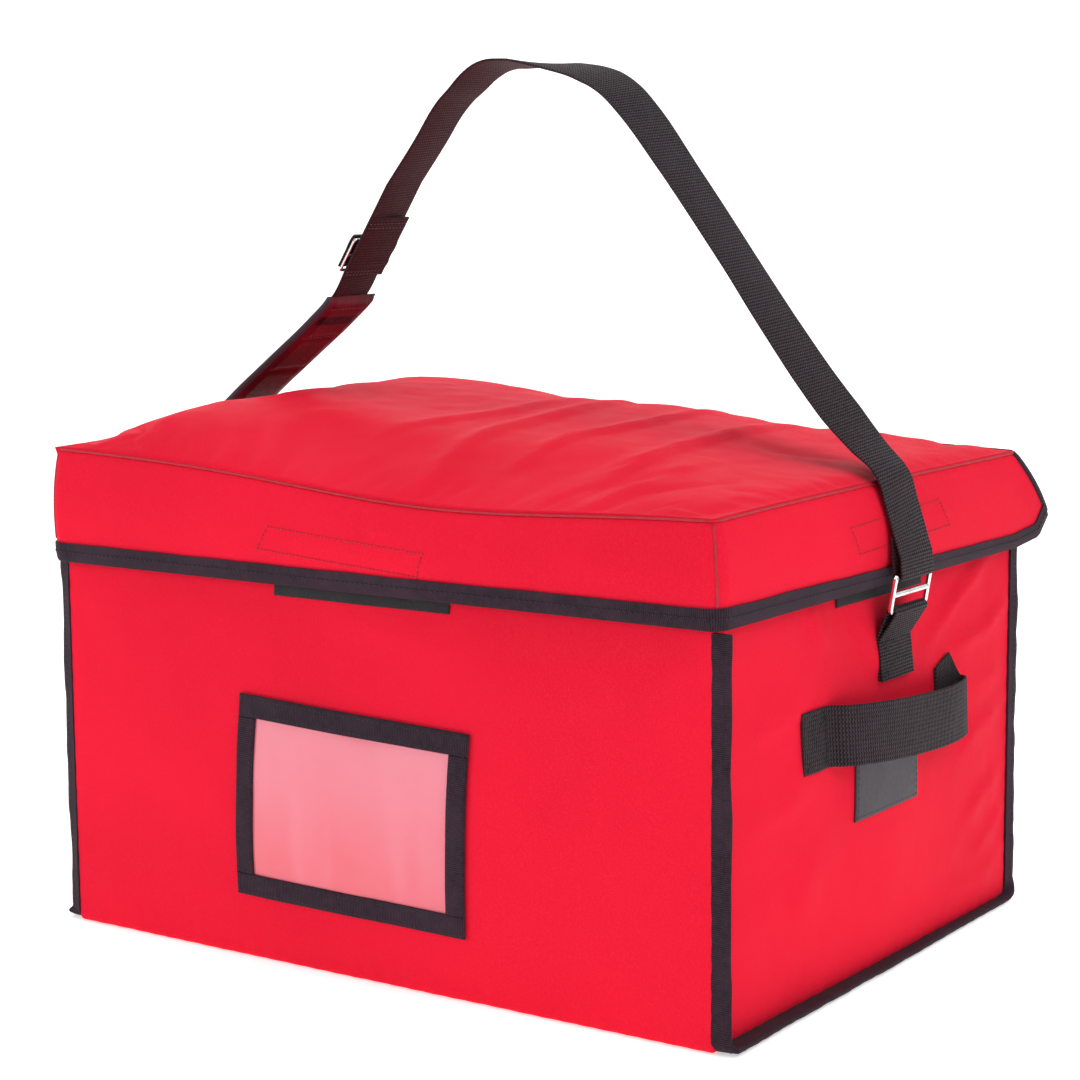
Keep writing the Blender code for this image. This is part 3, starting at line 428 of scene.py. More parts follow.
class Nodes:
    """Adds nodes to one tree."""

    def __init__(self, tree):
        self.tree = tree

    def add(self, kind, settings=None, values=None):
        node = self.tree.nodes.new(kind)
        for key, value in (settings or {}).items():
            setattr(node, key, value)
        for key, value in (values or {}).items():
            if isinstance(value, Field):
                self.tree.links.new(value.socket, node.inputs[key])
            else:
                node.inputs[key].default_value = value
        return Step(self, node)

    def mix(self, factor, first, second):
        """A colour between two, each a field or a colour."""
        first, second = (value if isinstance(value, Field) else (*value, 1.0) for value in (first, second))
        made = self.add("ShaderNodeMix", {"data_type": "RGBA"}, {0: factor, 6: first, 7: second})
        return made[2]

    def noise(self, place, scale, detail=3.0, rough=0.5):
        made = self.add("ShaderNodeTexNoise", None,
                        {"Vector": place, "Scale": scale, "Detail": detail, "Roughness": rough})
        return made["Fac"]

    def bump(self, height, distance, strength=1.0, normal=None):
        values = {"Height": height, "Distance": distance, "Strength": strength}
        if normal is not None:
            values["Normal"] = normal
        return self.add("ShaderNodeBump", None, values)["Normal"]


def finish(name, make, **constants):
    """A material: its Principled shader takes constants, and make(nodes) gives the sockets that vary."""
    material = bpy.data.materials.get(name)
    if material:
        return material
    material = bpy.data.materials.new(name)
    material.use_nodes = True
    nodes = Nodes(material.node_tree)
    shader = material.node_tree.nodes["Principled BSDF"]
    for key, value in constants.items():
        shader.inputs[key.replace("_", " ")].default_value = value
    varying = make(nodes)
    for key, value in varying.items():
        material.node_tree.links.new(value.socket, shader.inputs[key])
    return material


def object_place(nodes):
    return nodes.add("ShaderNodeTexCoord")["Object"]


def cloth_place(nodes):
    """Along and across the cloth in metres, and which face it is, from the piece's own attribute."""
    vector = nodes.add("ShaderNodeAttribute", {"attribute_name": "cloth"})["Vector"]
    split = nodes.add("ShaderNodeSeparateXYZ", None, {0: vector})
    return split["X"], split["Y"], split["Z"]


def shade(colour, share):
    return tuple(min(max(value * share, 0.0), 1.0) for value in colour)


def coated_fabric():
    """Woven cloth with a coating: a fine weave, soft mottling and small creases."""
    def make(nodes):
        colour = tuple(colours().fabric)
        along, across, _ = cloth_place(nodes)
        place = object_place(nodes)
        turn = 2 * math.pi / sizes().weave_pitch
        slack = nodes.noise(place, 38.0, 2.0)
        weave = (along * turn + slack * 3.0).sine() * (across * turn + slack * 3.0).sine()
        grain = nodes.noise(place, 900.0, 2.0)
        broad = nodes.noise(place, 7.0, 3.0)
        soft = nodes.noise(place, 60.0, 4.0)
        tone = nodes.mix(broad.ramp(0.3, 0.7), shade(colour, 0.93), shade(colour, 1.04))
        pale = tuple(colour[i] + (1.0 - colour[i]) * 0.035 for i in range(3))
        fleck = (weave * 0.35 + grain).ramp(0.45, 0.95)
        tone = nodes.mix(fleck * 0.5, tone, pale)
        height = weave * 0.5 + grain * 0.4
        fine = nodes.bump(height, 0.00012, 0.5)
        creased = nodes.bump(soft, 0.0010, 0.35, fine)
        return {"Base Color": tone, "Roughness": (soft * 0.3 + grain * 0.12).ramp(0.0, 0.42, 0.36, 0.60),
                "Normal": creased}

    return finish("coated_fabric_finish", make, Sheen_Weight=0.01, Sheen_Roughness=0.4,
                  Sheen_Tint=(1.0, 0.55, 0.58, 1.0), Specular_IOR_Level=0.012)


def binding_tape():
    """Ribbed tape: cross ribs, lint and broad paler patches."""
    def make(nodes):
        colour = tuple(colours().tape)
        along = cloth_place(nodes)[0]
        place = object_place(nodes)
        lint = nodes.noise(place, 260.0, 3.0)
        broad = nodes.noise(place, 30.0, 2.0)
        ribs = (along * (2 * math.pi / TAPE_RIB) + broad * 2.0).sine()
        tone = nodes.mix((ribs * 0.25 + lint).ramp(0.3, 0.8), shade(colour, 0.7), shade(colour, 1.7))
        tone = nodes.mix(broad.ramp(0.45, 0.75) * 0.3, tone, shade(colour, 2.2))
        height = nodes.bump(ribs * 0.5 + lint, 0.00018, 0.6)
        return {"Base Color": tone, "Roughness": lint.ramp(0.2, 0.8, 0.62, 0.85), "Normal": height}

    return finish("binding_tape_finish", make, Sheen_Weight=0.04, Sheen_Roughness=0.5,
                  Specular_IOR_Level=0.08)


def webbing_cloth(name="webbing_finish", under=None):
    """Flat webbing: slightly wavy cross ribs, with painted highlight on their crowns and painted shade
    between them; its underside may take painted bounce light.
    """
    def make(nodes):
        colour = tuple(colours().webbing)
        along, across, face = cloth_place(nodes)
        place = object_place(nodes)
        columns = (across * (2 * math.pi / WEBBING_COLUMN)).sine()
        broad = nodes.noise(place, 22.0, 2.0)
        ribs = (along * (2 * math.pi / WEBBING_RIB) + columns * 1.1 + broad * 3.0).sine()
        lint = nodes.noise(place, 420.0, 3.0)
        # Rib crowns are painted paler and the hollows between them darker: painted highlight and painted
        # shade.
        crown = (ribs * 0.45 + columns * 0.15 + lint * 0.8).ramp(-0.15, 1.05)
        tone = nodes.mix(crown, shade(colour, 0.35), shade(colour, 2.6))
        tone = nodes.mix(broad.ramp(0.4, 0.8) * 0.3, tone, shade(colour, 2.4))
        # The underside is painted dark red: painted bounce light from the red bag.
        if under:
            tone = nodes.mix(face.above(0.5) * 0.8, tone, under)
        height = nodes.bump(crown, 0.00035, 0.8)
        return {"Base Color": tone, "Roughness": crown.ramp(0.0, 1.0, 0.85, 0.55), "Normal": height}

    return finish(name, make, Sheen_Weight=0.03, Sheen_Roughness=0.45, Specular_IOR_Level=0.10)


def strap_webbing_cloth():
    """The shoulder strap's webbing, whose underside is painted dark red as bounce light from the red bag."""
    return webbing_cloth("strap_webbing_finish", under=STRAP_UNDERSIDE_BOUNCE)


def window_vinyl():
    """Clear vinyl over the red cloth: milky, glossy, with faint vertical waves."""
    def make(nodes):
        colour = tuple(colours().vinyl)
        place = object_place(nodes)
        stretch = nodes.add("ShaderNodeMapping", None, {0: place, "Scale": (30.0, 30.0, 7.0)})[0]
        waves = nodes.noise(stretch, 1.0, 2.0)
        haze = nodes.noise(place, 14.0, 3.0)
        pale = (colour[0] * 1.02, colour[1] * 1.9, colour[2] * 1.9)
        split = nodes.add("ShaderNodeSeparateXYZ", None, {0: place})
        rise = split["Z"].ramp(WINDOW_Z - 0.05, WINDOW_Z + 0.05)
        tone = nodes.mix(rise * 0.75 + haze.ramp(0.3, 0.7) * 0.25, colour, pale)
        tone = nodes.mix(waves.ramp(0.45, 0.75) * 0.4, tone, shade(pale, 1.04))
        height = nodes.bump(waves, 0.0012, 0.4)
        return {"Base Color": tone, "Roughness": haze.ramp(0.3, 0.8, 0.10, 0.24), "Normal": height}

    return finish("window_vinyl_finish", make, Coat_Weight=0.3, Coat_Roughness=0.08, Specular_IOR_Level=0.4)


def chrome():
    def make(nodes):
        place = object_place(nodes)
        smear = nodes.noise(place, 90.0, 3.0)
        tone = nodes.mix(smear.ramp(0.4, 0.8), (0.86, 0.85, 0.86), (0.72, 0.70, 0.71))
        return {"Base Color": tone, "Roughness": smear.ramp(0.3, 0.8, 0.10, 0.28),
                "Normal": nodes.bump(smear, 0.0001, 0.3)}

    return finish("chrome_finish", make, Metallic=1.0)


def foil():
    """Crinkled foil lining."""
    def make(nodes):
        place = object_place(nodes)
        cells = nodes.add("ShaderNodeTexVoronoi", None, {"Vector": place, "Scale": 55.0})["Distance"]
        fine = nodes.noise(place, 160.0, 4.0)
        tone = nodes.mix(fine.ramp(0.3, 0.7), (0.80, 0.81, 0.82), (0.62, 0.63, 0.65))
        return {"Base Color": tone, "Roughness": fine.ramp(0.3, 0.7, 0.22, 0.42),
                "Normal": nodes.bump(cells + fine * 0.5, 0.0016, 0.8)}

    return finish("foil_finish", make, Metallic=0.85)


def plain_grain(name, dark, pale, scale, rough, distance):
    """Foam, board or fuzz: a two-tone grain with a bump of the same size."""
    def make(nodes):
        place = object_place(nodes)
        grain = nodes.noise(place, scale, 4.0, 0.65)
        broad = nodes.noise(place, scale / 12, 2.0)
        tone = nodes.mix((grain * 0.7 + broad * 0.3).ramp(0.3, 0.7), dark, pale)
        return {"Base Color": tone, "Roughness": grain.ramp(0.2, 0.8, rough - 0.1, min(rough + 0.1, 1.0)),
                "Normal": nodes.bump(grain, distance, 0.8)}

    return finish(name, make, Sheen_Weight=0.03)


def fuzz():
    return plain_grain("fuzz_finish", (0.004, 0.003, 0.004), (0.022, 0.018, 0.022), 700.0, 0.85, 0.0008)


def label_rubber():
    return plain_grain("label_finish", (0.017, 0.013, 0.019), (0.031, 0.025, 0.034), 350.0, 0.55, 0.0001)


def thread(name, colour):
    """Twisted thread."""
    def make(nodes):
        place = object_place(nodes)
        twist = nodes.noise(place, 1800.0, 2.0)
        tone = nodes.mix(twist.ramp(0.3, 0.7), shade(colour, 0.7), shade(colour, 1.5))
        return {"Base Color": tone, "Roughness": twist.ramp(0.2, 0.8, 0.5, 0.75),
                "Normal": nodes.bump(twist, 0.0001, 0.5)}

    return finish(name, make)


def cloth_thread():
    return thread("cloth_thread_finish", tuple(colours().thread))


def tape_thread():
    return thread("tape_thread_finish", (0.008, 0.006, 0.010))


def pad_vinyl():
    """Pad lining: dark red inside face, grey rolled edge and a dark band of painted shade where its slot is.
    """
    def make(nodes):
        along, across, face = cloth_place(nodes)
        place = object_place(nodes)
        grain = nodes.noise(place, 420.0, 3.0)
        broad = nodes.noise(place, 26.0, 2.0)
        tone = nodes.mix(broad.ramp(0.3, 0.75), (0.085, 0.003, 0.010), (0.190, 0.005, 0.020))
        tone = nodes.mix(grain.ramp(0.4, 0.8) * 0.3, tone, (0.13, 0.012, 0.02))
        edge = across.size().ramp(PAD_WIDTH / 2 - 0.0030, PAD_WIDTH / 2 - 0.0022)
        tone = nodes.mix(edge, tone, (0.060, 0.054, 0.070))
        # A dark band where the slot is: painted shade in the slot.
        slot = along.above(PAD_SLOT_SHADE[0]) * (1 - along.above(PAD_SLOT_SHADE[1])) * (1 - across.size().above(0.0190))
        tone = nodes.mix(slot, tone, (0.012, 0.004, 0.006))
        tone = nodes.mix(face.above(0.5), (0.035, 0.030, 0.034), tone)
        return {"Base Color": tone, "Roughness": grain.ramp(0.2, 0.8, 0.40, 0.62),
                "Normal": nodes.bump(grain, 0.0002, 0.5)}

    return finish("pad_finish", make, Sheen_Weight=0.02, Specular_IOR_Level=0.2)


# Surfaces


def hump(share):
    """Rises from zero at share 0 to one at a half and back to zero at share 1."""
    return np.sin(np.pi * np.clip(share, 0.0, 1.0))


def between(low, high, share):
    return low + (high - low) * share


def ripple(a, b, size, seed):
    """Smooth seeded unevenness, from about -1 to 1, of that size across a panel."""
    a, b = np.broadcast_arrays(np.asarray(a, float), np.asarray(b, float))
    flat = [noise.noise(Vector((p / size, q / size, seed * 7.31))) for p, q in zip(a.ravel(), b.ravel())]
    return np.array(flat).reshape(a.shape)


def creases(a, b, table):
    """Sum of ridges along lines on a panel, each steeper on one side and fading at its ends."""
    a, b = np.broadcast_arrays(np.asarray(a, float), np.asarray(b, float))
    total = np.zeros(a.shape)
    for points, width, height in table:
        lengths = [math.dist(start, stop) for start, stop in zip(points, points[1:])]
        near = np.full(a.shape, 1.0)
        run = np.zeros(a.shape)
        gone = 0.0
        for (a0, b0), (a1, b1), length in zip(points, points[1:], lengths):
            way = ((a1 - a0) / length, (b1 - b0) / length)
            along = (a - a0) * way[0] + (b - b0) * way[1]
            kept = np.clip(along, 0.0, length)
            off = np.hypot(a - a0 - kept * way[0], b - b0 - kept * way[1])
            off = np.where((b - b0) * way[0] - (a - a0) * way[1] > 0, off, -off)
            closer = np.abs(off) < np.abs(near)
            near = np.where(closer, off, near)
            run = np.where(closer, gone + kept, run)
            gone += length
        share = run / gone
        fade = np.clip(np.minimum(share, 1 - share) / 0.3, 0.0, 1.0)
        spread = np.where(near > 0, width * 1.7, width * 0.75)
        total = total + height * (0.15 + 0.85 * fade) * np.exp(-((near / spread) ** 2))
    return total * sizes().crease_share


def gathers(along, away, seed):
    """Small puckers beside a seam: along it, and at a distance away from it."""
    pitch = sizes().pucker_pitch
    wave = np.sin(along * 2 * math.pi / pitch + 3.0 * ripple(along, 0.0, 0.05, seed))
    return sizes().pucker_height * wave * np.exp(-np.abs(away) / 0.009)


def panel_relief(a, z, half, table, seed):
    """Creases, slack and puckers of a body panel; a runs across it from its middle."""
    relief = creases(a, z, table)
    relief = relief + 0.0008 * ripple(a, z, 0.045, seed) + 0.0003 * ripple(a, z, 0.018, seed + 1)
    relief = relief + gathers(z, half - np.abs(a), seed + 2) + gathers(a, z - 0.004, seed + 3)
    edge = np.clip((half - np.abs(a)) / 0.012, 0, 1) * np.clip(z / 0.010, 0, 1)
    return relief * between(0.15, 1.0, edge)


def front_out(x, z):
    swell = FRONT_SWELL * hump(x / BODY_WIDTH + 0.5) * hump(z / SWELL_TOP)
    return swell + panel_relief(x, z, HALF_WIDTH, FRONT_CREASES, 1)


def back_out(x, z):
    swell = BACK_SWELL * hump(x / BODY_WIDTH + 0.5) * hump(z / SWELL_TOP)
    return swell + panel_relief(x, z, HALF_WIDTH, BACK_CREASES, 11)


def side_out(side, y, z):
    swell = SIDE_SWELL * hump(y / BODY_DEPTH + 0.5) * hump(z / SWELL_TOP)
    table = RIGHT_CREASES if side > 0 else LEFT_CREASES
    return swell + panel_relief(y, z, HALF_DEPTH, table, 21 if side > 0 else 31)


def stack(x, y, z):
    return np.stack(np.broadcast_arrays(x, y, z), axis=-1).astype(float)


def front_place(x, z, off):
    """Points at distance off outside the front panel."""
    return stack(x, -(HALF_DEPTH + front_out(x, z) + off), z)


def side_place(side, y, z, off):
    """Points at distance off outside a side panel, side being 1 for right and -1 for left."""
    return stack(side * (HALF_WIDTH + side_out(side, y, z) + off), y, z)


def seam_z(x, y):
    """Height of the sewn edge between lid cover and skirts, carried across the lid."""
    u = x / BODY_WIDTH + 0.5
    v = y / BODY_DEPTH + 0.5
    front = between(SEAM_FRONT_LEFT, SEAM_FRONT_RIGHT, u)
    back = between(SEAM_BACK_LEFT, SEAM_BACK_RIGHT, u)
    dip = SEAM_DIP * np.exp(-(((x - SEAM_DIP_X) / SEAM_DIP_SPAN) ** 2)) * (1 - np.clip(v, 0, 1)) ** 4
    return between(front, back, v) - dip


def skirt_stations():
    """Places along the skirts from the left free end round the front to the right one.

    Each is (normal x, normal y, share along its panel, inset x, inset y).
    """
    side_length = SKIRT_BACK_END - LID_FRONT - SKIRT_RADIUS
    side_count = round(side_length / SKIRT_STEP)
    front_half = LID_HALF_WIDTH - SKIRT_RADIUS
    front_count = round(2 * front_half / SKIRT_STEP)
    turns = [math.radians(90 * (i + 0.5) / CORNER_STEPS) for i in range(CORNER_STEPS)]
    start = SKIRT_RADIUS / (SKIRT_BACK_END - LID_FRONT)
    right = [(1.0, 0.0, share, 0.0, 0.0) for share in np.linspace(start, 1, side_count)]
    corner = []
    for angle in turns:
        inset = SKIRT_RADIUS * (1 - math.sin(angle))
        inset_y = SKIRT_RADIUS * (1 - math.cos(angle))
        corner.append((math.sin(angle), -math.cos(angle), 0.0, inset, inset_y))
    front = [(0.0, -1.0, x, 0.0, 0.0) for x in np.linspace(-front_half, front_half, front_count)]
    half = corner + right
    mirrored = [(-nx, ny, share, ix, iy) for nx, ny, share, ix, iy in reversed(half)]
    return np.array(mirrored), np.array(front), np.array(half)


SKIRT_BENDS = (0, 0.85, 0.95, 1)
SKIRT_LOW_Y = (LID_FRONT, SKIRT_BACK_START, SKIRT_BACK_FOOT[0], SKIRT_BACK_LOW[0])
SKIRT_LOW_Z = (SKIRT_LOW, SKIRT_LOW, SKIRT_BACK_FOOT[1], SKIRT_BACK_LOW[1])


def skirt_points(stations, share, off):
    """Points of the skirts at stations (n) and shares up (m), moved out by off; returns (m, n, 3)."""
    share = np.asarray(share, float)[:, None]
    fall = 1 - share
    parts = []
    for group, side in zip(stations, (-1, 0, 1)):
        nx, ny, at, inset_x, inset_y = (group[:, i][None, :] for i in range(5))
        if side == 0:
            x = at * (1 + SKIRT_FLARE_FRONT * fall / LID_HALF_WIDTH)
            y, z_low, run = LID_FRONT, SKIRT_LOW, at
            top = seam_z(at, LID_FRONT)
            bulge = hump(at / (2 * LID_HALF_WIDTH) + 0.5) ** 2
        else:
            x = side * (LID_HALF_WIDTH - inset_x + between(SKIRT_FLARE_FRONT, SKIRT_FLARE_BACK, at) * fall)
            y_top = between(LID_FRONT, SKIRT_BACK_END, at) + inset_y
            y = between(np.interp(at, SKIRT_BENDS, SKIRT_LOW_Y) + inset_y, y_top, share)
            z_low = np.interp(at, SKIRT_BENDS, SKIRT_LOW_Z)
            top = seam_z(side * LID_HALF_WIDTH, y_top)
            bulge = hump(at) ** 2
            run = side * (0.4 + y_top)
        z = between(z_low, top - FABRIC - CLEAR, share)
        swell = between(SKIRT_CORNER_SWELL, SKIRT_SWELL, bulge) * hump(share) ** 0.8
        relief = 0.0008 * ripple(run * np.ones_like(share), z, 0.05, 41) * hump(share)
        relief = relief + gathers(run, fall * 0.05, 43) * 0.5
        relief = relief + creases(run * np.ones_like(share), z, SKIRT_CREASES)
        tuck = np.exp(-((fall / 0.02) ** 2)) * 0.0005
        level = off + swell + relief - tuck
        parts.append(stack(x + nx * level, y + ny * level, z))
    return np.concatenate(parts, axis=1)


CROWN = 0.0255
CROWN_SHARES = (0.50, 1.00, 0.80, 0.68, 0.64, 0.60, 0.47, 0.24, 0.06)


def lid_height(x, y):
    """Top of the lid's cushion above the floor."""
    middle = (LID_FRONT + HALF_DEPTH) / 2
    half = (HALF_DEPTH - LID_FRONT) / 2
    a = np.clip(np.abs(x / LID_HALF_WIDTH), 0, 1)
    b = np.clip(np.abs((y - middle) / half), 0, 1)
    places = np.linspace(-LID_HALF_WIDTH, LID_HALF_WIDTH, len(CROWN_SHARES))
    crown = CROWN * np.interp(x, places, CROWN_SHARES)
    rise = crown * (1 - a**6) * (1 - b**6)
    inside = np.clip((1 - a) * LID_HALF_WIDTH / 0.02, 0, 1) * np.clip((1 - b) * half / 0.02, 0, 1)
    relief = creases(x, y, LID_CREASES) + 0.0011 * ripple(x, y, 0.06, 51) + 0.0004 * ripple(x, y, 0.02, 52)
    return seam_z(x, y) + rise + relief * inside


# Mesh making


def mesh_object(name, points, faces, cloth=None, sharp=None):
    """A smooth-shaded object from points and faces, with its cloth coordinates, all faces outwards."""
    data = bpy.data.meshes.new(name)
    data.from_pydata(np.asarray(points).reshape(-1, 3).tolist(), [], faces)
    if cloth is not None:
        layer = data.attributes.new("cloth", "FLOAT_VECTOR", "POINT")
        layer.data.foreach_set("vector", np.asarray(cloth, np.float32).ravel())
    obj = bpy.data.objects.new(name, data)
    bpy.context.scene.collection.objects.link(obj)
    face_out(data)
    smooth(data)
    if sharp:
        data.set_sharp_from_angle(angle=math.radians(sharp))
    return obj


def face_out(data):
    bm = bmesh.new()
    bm.from_mesh(data)
    if bm.calc_volume(signed=True) < 0:
        bmesh.ops.reverse_faces(bm, faces=bm.faces)
        bm.to_mesh(data)
    bm.free()


def smooth(data):
    for polygon in data.polygons:
        polygon.use_smooth = True


def dress(obj, material, slot, body, *nodes):
    """Gives a piece its material, the body it rides and the solids it stands for; slot is not used."""
    obj.data.materials.clear()
    obj.data.materials.append(material)
    if body:
        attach(obj, body)
    if nodes:
        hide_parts(*nodes)
    return obj


def quads(rows, columns, wrap, start=0, flip=False):
    made = []
    last = columns if wrap else columns - 1
    for r in range(rows - 1):
        for c in range(last):
            d = (c + 1) % columns
            face = (start + r * columns + c, start + r * columns + d,
                    start + (r + 1) * columns + d, start + (r + 1) * columns + c)
            made.append(face[::-1] if flip else face)
    return made


def two_skins(name, outer, inner, cloth, wrap=False, sharp=None, lids=False):
    """A sheet with thickness: outer and inner grids (rows, columns, 3) joined round their edges.

    With lids, the last row of each grid is closed by one flat face instead of a wall between them.
    """
    rows, columns = outer.shape[:2]
    count = rows * columns
    faces = quads(rows, columns, wrap) + quads(rows, columns, wrap, count, True)
    rim = [list(range(columns))]
    if lids:
        last = [(rows - 1) * columns + c for c in range(columns)]
        faces += [tuple(last), tuple(count + i for i in reversed(last))]
    else:
        rim.append([(rows - 1) * columns + c for c in reversed(range(columns))])
    if not wrap:
        rim.append([r * columns for r in reversed(range(rows))])
        rim.append([r * columns + columns - 1 for r in range(rows)])
    for line in rim:
        steps = list(zip(line, line[1:]))
        if wrap:
            steps.append((line[-1], line[0]))
        faces += [(b, a, count + a, count + b) for a, b in steps]
    both = np.concatenate([np.broadcast_to(cloth, outer.shape), np.broadcast_to(cloth, outer.shape)])
    points = np.concatenate([outer.reshape(-1, 3), inner.reshape(-1, 3)])
    return mesh_object(name, points, faces, both, sharp)


def loft(name, rings, cloth, closed=False, sharp=None):
    """A closed skin through rings (n, m, 3) of points, capped at its ends unless it closes on itself."""
    count, size = rings.shape[:2]
    faces = quads(count, size, True)
    if closed:
        last = (count - 1) * size
        faces += [(last + c, last + (c + 1) % size, (c + 1) % size, c) for c in range(size)]
    else:
        faces += [tuple(reversed(range(size))), tuple((count - 1) * size + c for c in range(size))]
    return mesh_object(name, rings, faces, cloth, sharp)


def crowded(length, edge, cells):
    """Places from 0 to length, close together within edge of both ends."""
    near = edge * np.array((0.0, 0.12, 0.35, 0.65, 1.0))
    middle = np.linspace(edge, length - edge, cells + 1)[1:-1]
    return np.concatenate([near, middle, length - near[::-1]])


def plaque(name, place, width, height, off, thick, cells, edge=0.0008):
    """A patch with rounded edges that place(a, b, off) lays on a surface."""
    a = crowded(width, edge, cells[0])
    b = crowded(height, edge, cells[1])
    a, b = np.meshgrid(a, b)
    near = np.minimum(np.minimum(a, width - a), np.minimum(b, height - b))
    share = 1 - np.clip(near / edge, 0, 1)
    rise = thick * np.sqrt(1 - 0.75 * share**2)
    outer = place(a, b, off + rise)
    inner = place(a, b, off + 0 * a)
    cloth = stack(a, b, 0 * a)
    return two_skins(name, outer, inner, cloth)


def along_path(points):
    """Distance gone along a line at each of its points."""
    return np.concatenate([[0.0], np.cumsum(np.linalg.norm(np.diff(points, axis=0), axis=1))])


def level_ways(line):
    """The direction from front to back, once for each point of a line."""
    return np.tile((0.0, 1.0, 0.0), (len(line), 1))


def smooth_line(points, steps):
    """Points spaced evenly along a curve through the given ones."""
    guide = bpy.data.curves.new("guide", "CURVE")
    guide.dimensions = "3D"
    guide.resolution_u = 12
    spline = guide.splines.new("BEZIER")
    spline.bezier_points.add(len(points) - 1)
    for point, knot in zip(points, spline.bezier_points):
        knot.co = point
        knot.handle_left_type = "AUTO"
        knot.handle_right_type = "AUTO"
    holder = bpy.data.objects.new("guide", guide)
    bpy.context.scene.collection.objects.link(holder)
    bpy.context.view_layer.update()
    data = holder.to_mesh()
    line = np.array([tuple(vert.co) for vert in data.vertices])
    holder.to_mesh_clear()
    bpy.data.objects.remove(holder, do_unlink=True)
    bpy.data.curves.remove(guide)
    gone = along_path(line)
    at = np.linspace(0.0, gone[-1], steps)
    return np.stack([np.interp(at, gone, line[:, axis]) for axis in range(3)], axis=1)


def arc(centre, radius, start, stop, steps):
    return [(centre[0] + radius * math.cos(math.radians(a)), centre[1] + radius * math.sin(math.radians(a)))
            for a in np.linspace(start, stop, steps)]


# Geometry node tools


def open_tree(name, inputs):
    """A new geometry tree with its inputs, ready for nodes; returns (nodes, input fields, tree)."""
    tree = bpy.data.node_groups.new(name, "GeometryNodeTree")
    tree.interface.new_socket("Geometry", in_out="INPUT", socket_type="NodeSocketGeometry")
    for label, kind in inputs:
        tree.interface.new_socket(label, in_out="INPUT", socket_type=kind)
    tree.interface.new_socket("Geometry", in_out="OUTPUT", socket_type="NodeSocketGeometry")
    nodes = Nodes(tree)
    return nodes, nodes.add("NodeGroupInput"), tree


def close_tree(nodes, geometry, material):
    """Ends a tree with Realize Instances and Set Material."""
    real = nodes.add("GeometryNodeRealizeInstances", None, {0: geometry})[0]
    painted = nodes.add("GeometryNodeSetMaterial", None, {"Geometry": real, "Material": material})[0]
    nodes.add("NodeGroupOutput", None, {0: painted})


def band_tree():
    """Tree that sweeps a flat band with rounded edges along a line whose points say where its width lies."""
    tree = bpy.data.node_groups.get("flat_band")
    if tree:
        return tree
    nodes, given, tree = open_tree("flat_band", (
        ("Width", "NodeSocketFloat"), ("Thickness", "NodeSocketFloat"), ("Edge", "NodeSocketFloat"),
        ("Material", "NodeSocketMaterial")))
    line = nodes.add("GeometryNodeMeshToCurve", None, {0: given["Geometry"]})[0]
    way = nodes.add("GeometryNodeInputNamedAttribute", {"data_type": "FLOAT_VECTOR"},
                    {"Name": "across"})["Attribute"]
    line = nodes.add("GeometryNodeSetCurveNormal", {"mode": "FREE"}, {"Curve": line, "Normal": way})[0]
    gone = nodes.add("GeometryNodeSplineParameter")["Length"]
    line = nodes.add("GeometryNodeStoreNamedAttribute", {"data_type": "FLOAT", "domain": "POINT"},
                     {"Geometry": line, "Name": "gone", "Value": gone})[0]
    section = nodes.add("GeometryNodeCurvePrimitiveQuadrilateral", None,
                        {"Width": given["Width"], "Height": given["Thickness"]})[0]
    section = nodes.add("GeometryNodeFilletCurve", {"mode": "POLY"},
                        {"Curve": section, "Count": 3, "Radius": given["Edge"]})[0]
    place = nodes.add("ShaderNodeSeparateXYZ", None, {0: nodes.add("GeometryNodeInputPosition")[0]})
    section = nodes.add("GeometryNodeStoreNamedAttribute", {"data_type": "FLOAT", "domain": "POINT"},
                        {"Geometry": section, "Name": "side", "Value": place["X"]})[0]
    section = nodes.add("GeometryNodeStoreNamedAttribute", {"data_type": "FLOAT", "domain": "POINT"},
                        {"Geometry": section, "Name": "face", "Value": place["Y"].above(0.0)})[0]
    band = nodes.add("GeometryNodeCurveToMesh", None,
                     {"Curve": line, "Profile Curve": section, "Fill Caps": True})[0]
    parts = [nodes.add("GeometryNodeInputNamedAttribute", {"data_type": "FLOAT"}, {"Name": name})["Attribute"]
             for name in ("gone", "side", "face")]
    cloth = nodes.add("ShaderNodeCombineXYZ", None, dict(enumerate(parts)))[0]
    band = nodes.add("GeometryNodeStoreNamedAttribute", {"data_type": "FLOAT_VECTOR", "domain": "POINT"},
                     {"Geometry": band, "Name": "cloth", "Value": cloth})[0]
    close_tree(nodes, band, given["Material"])
    return tree


def stitch_tree():
    """Tree that lays short threads along lines, one every pitch."""
    tree = bpy.data.node_groups.get("stitch_row")
    if tree:
        return tree
    nodes, given, tree = open_tree("stitch_row", (
        ("Pitch", "NodeSocketFloat"), ("Length", "NodeSocketFloat"), ("Thread", "NodeSocketFloat"),
        ("Material", "NodeSocketMaterial")))
    line = nodes.add("GeometryNodeMeshToCurve", None, {0: given["Geometry"]})[0]
    line = nodes.add("GeometryNodeResampleCurve", {"mode": "LENGTH"},
                     {"Curve": line, "Length": given["Pitch"]})[0]
    tangent = nodes.add("GeometryNodeInputTangent")[0]
    turn = nodes.add("FunctionNodeAlignRotationToVector", {"axis": "X"}, {"Vector": tangent})[0]
    bead = nodes.add("GeometryNodeMeshUVSphere", None, {"Segments": 6, "Rings": 5, "Radius": 0.5})[0]
    size = nodes.add("ShaderNodeCombineXYZ", None,
                     {0: given["Length"], 1: given["Thread"], 2: given["Thread"]})[0]
    bead = nodes.add("GeometryNodeTransform", None, {"Geometry": bead, "Scale": size})[0]
    rows = nodes.add("GeometryNodeInstanceOnPoints", None,
                     {"Points": line, "Instance": bead, "Rotation": turn})[0]
    close_tree(nodes, rows, given["Material"])
    return tree


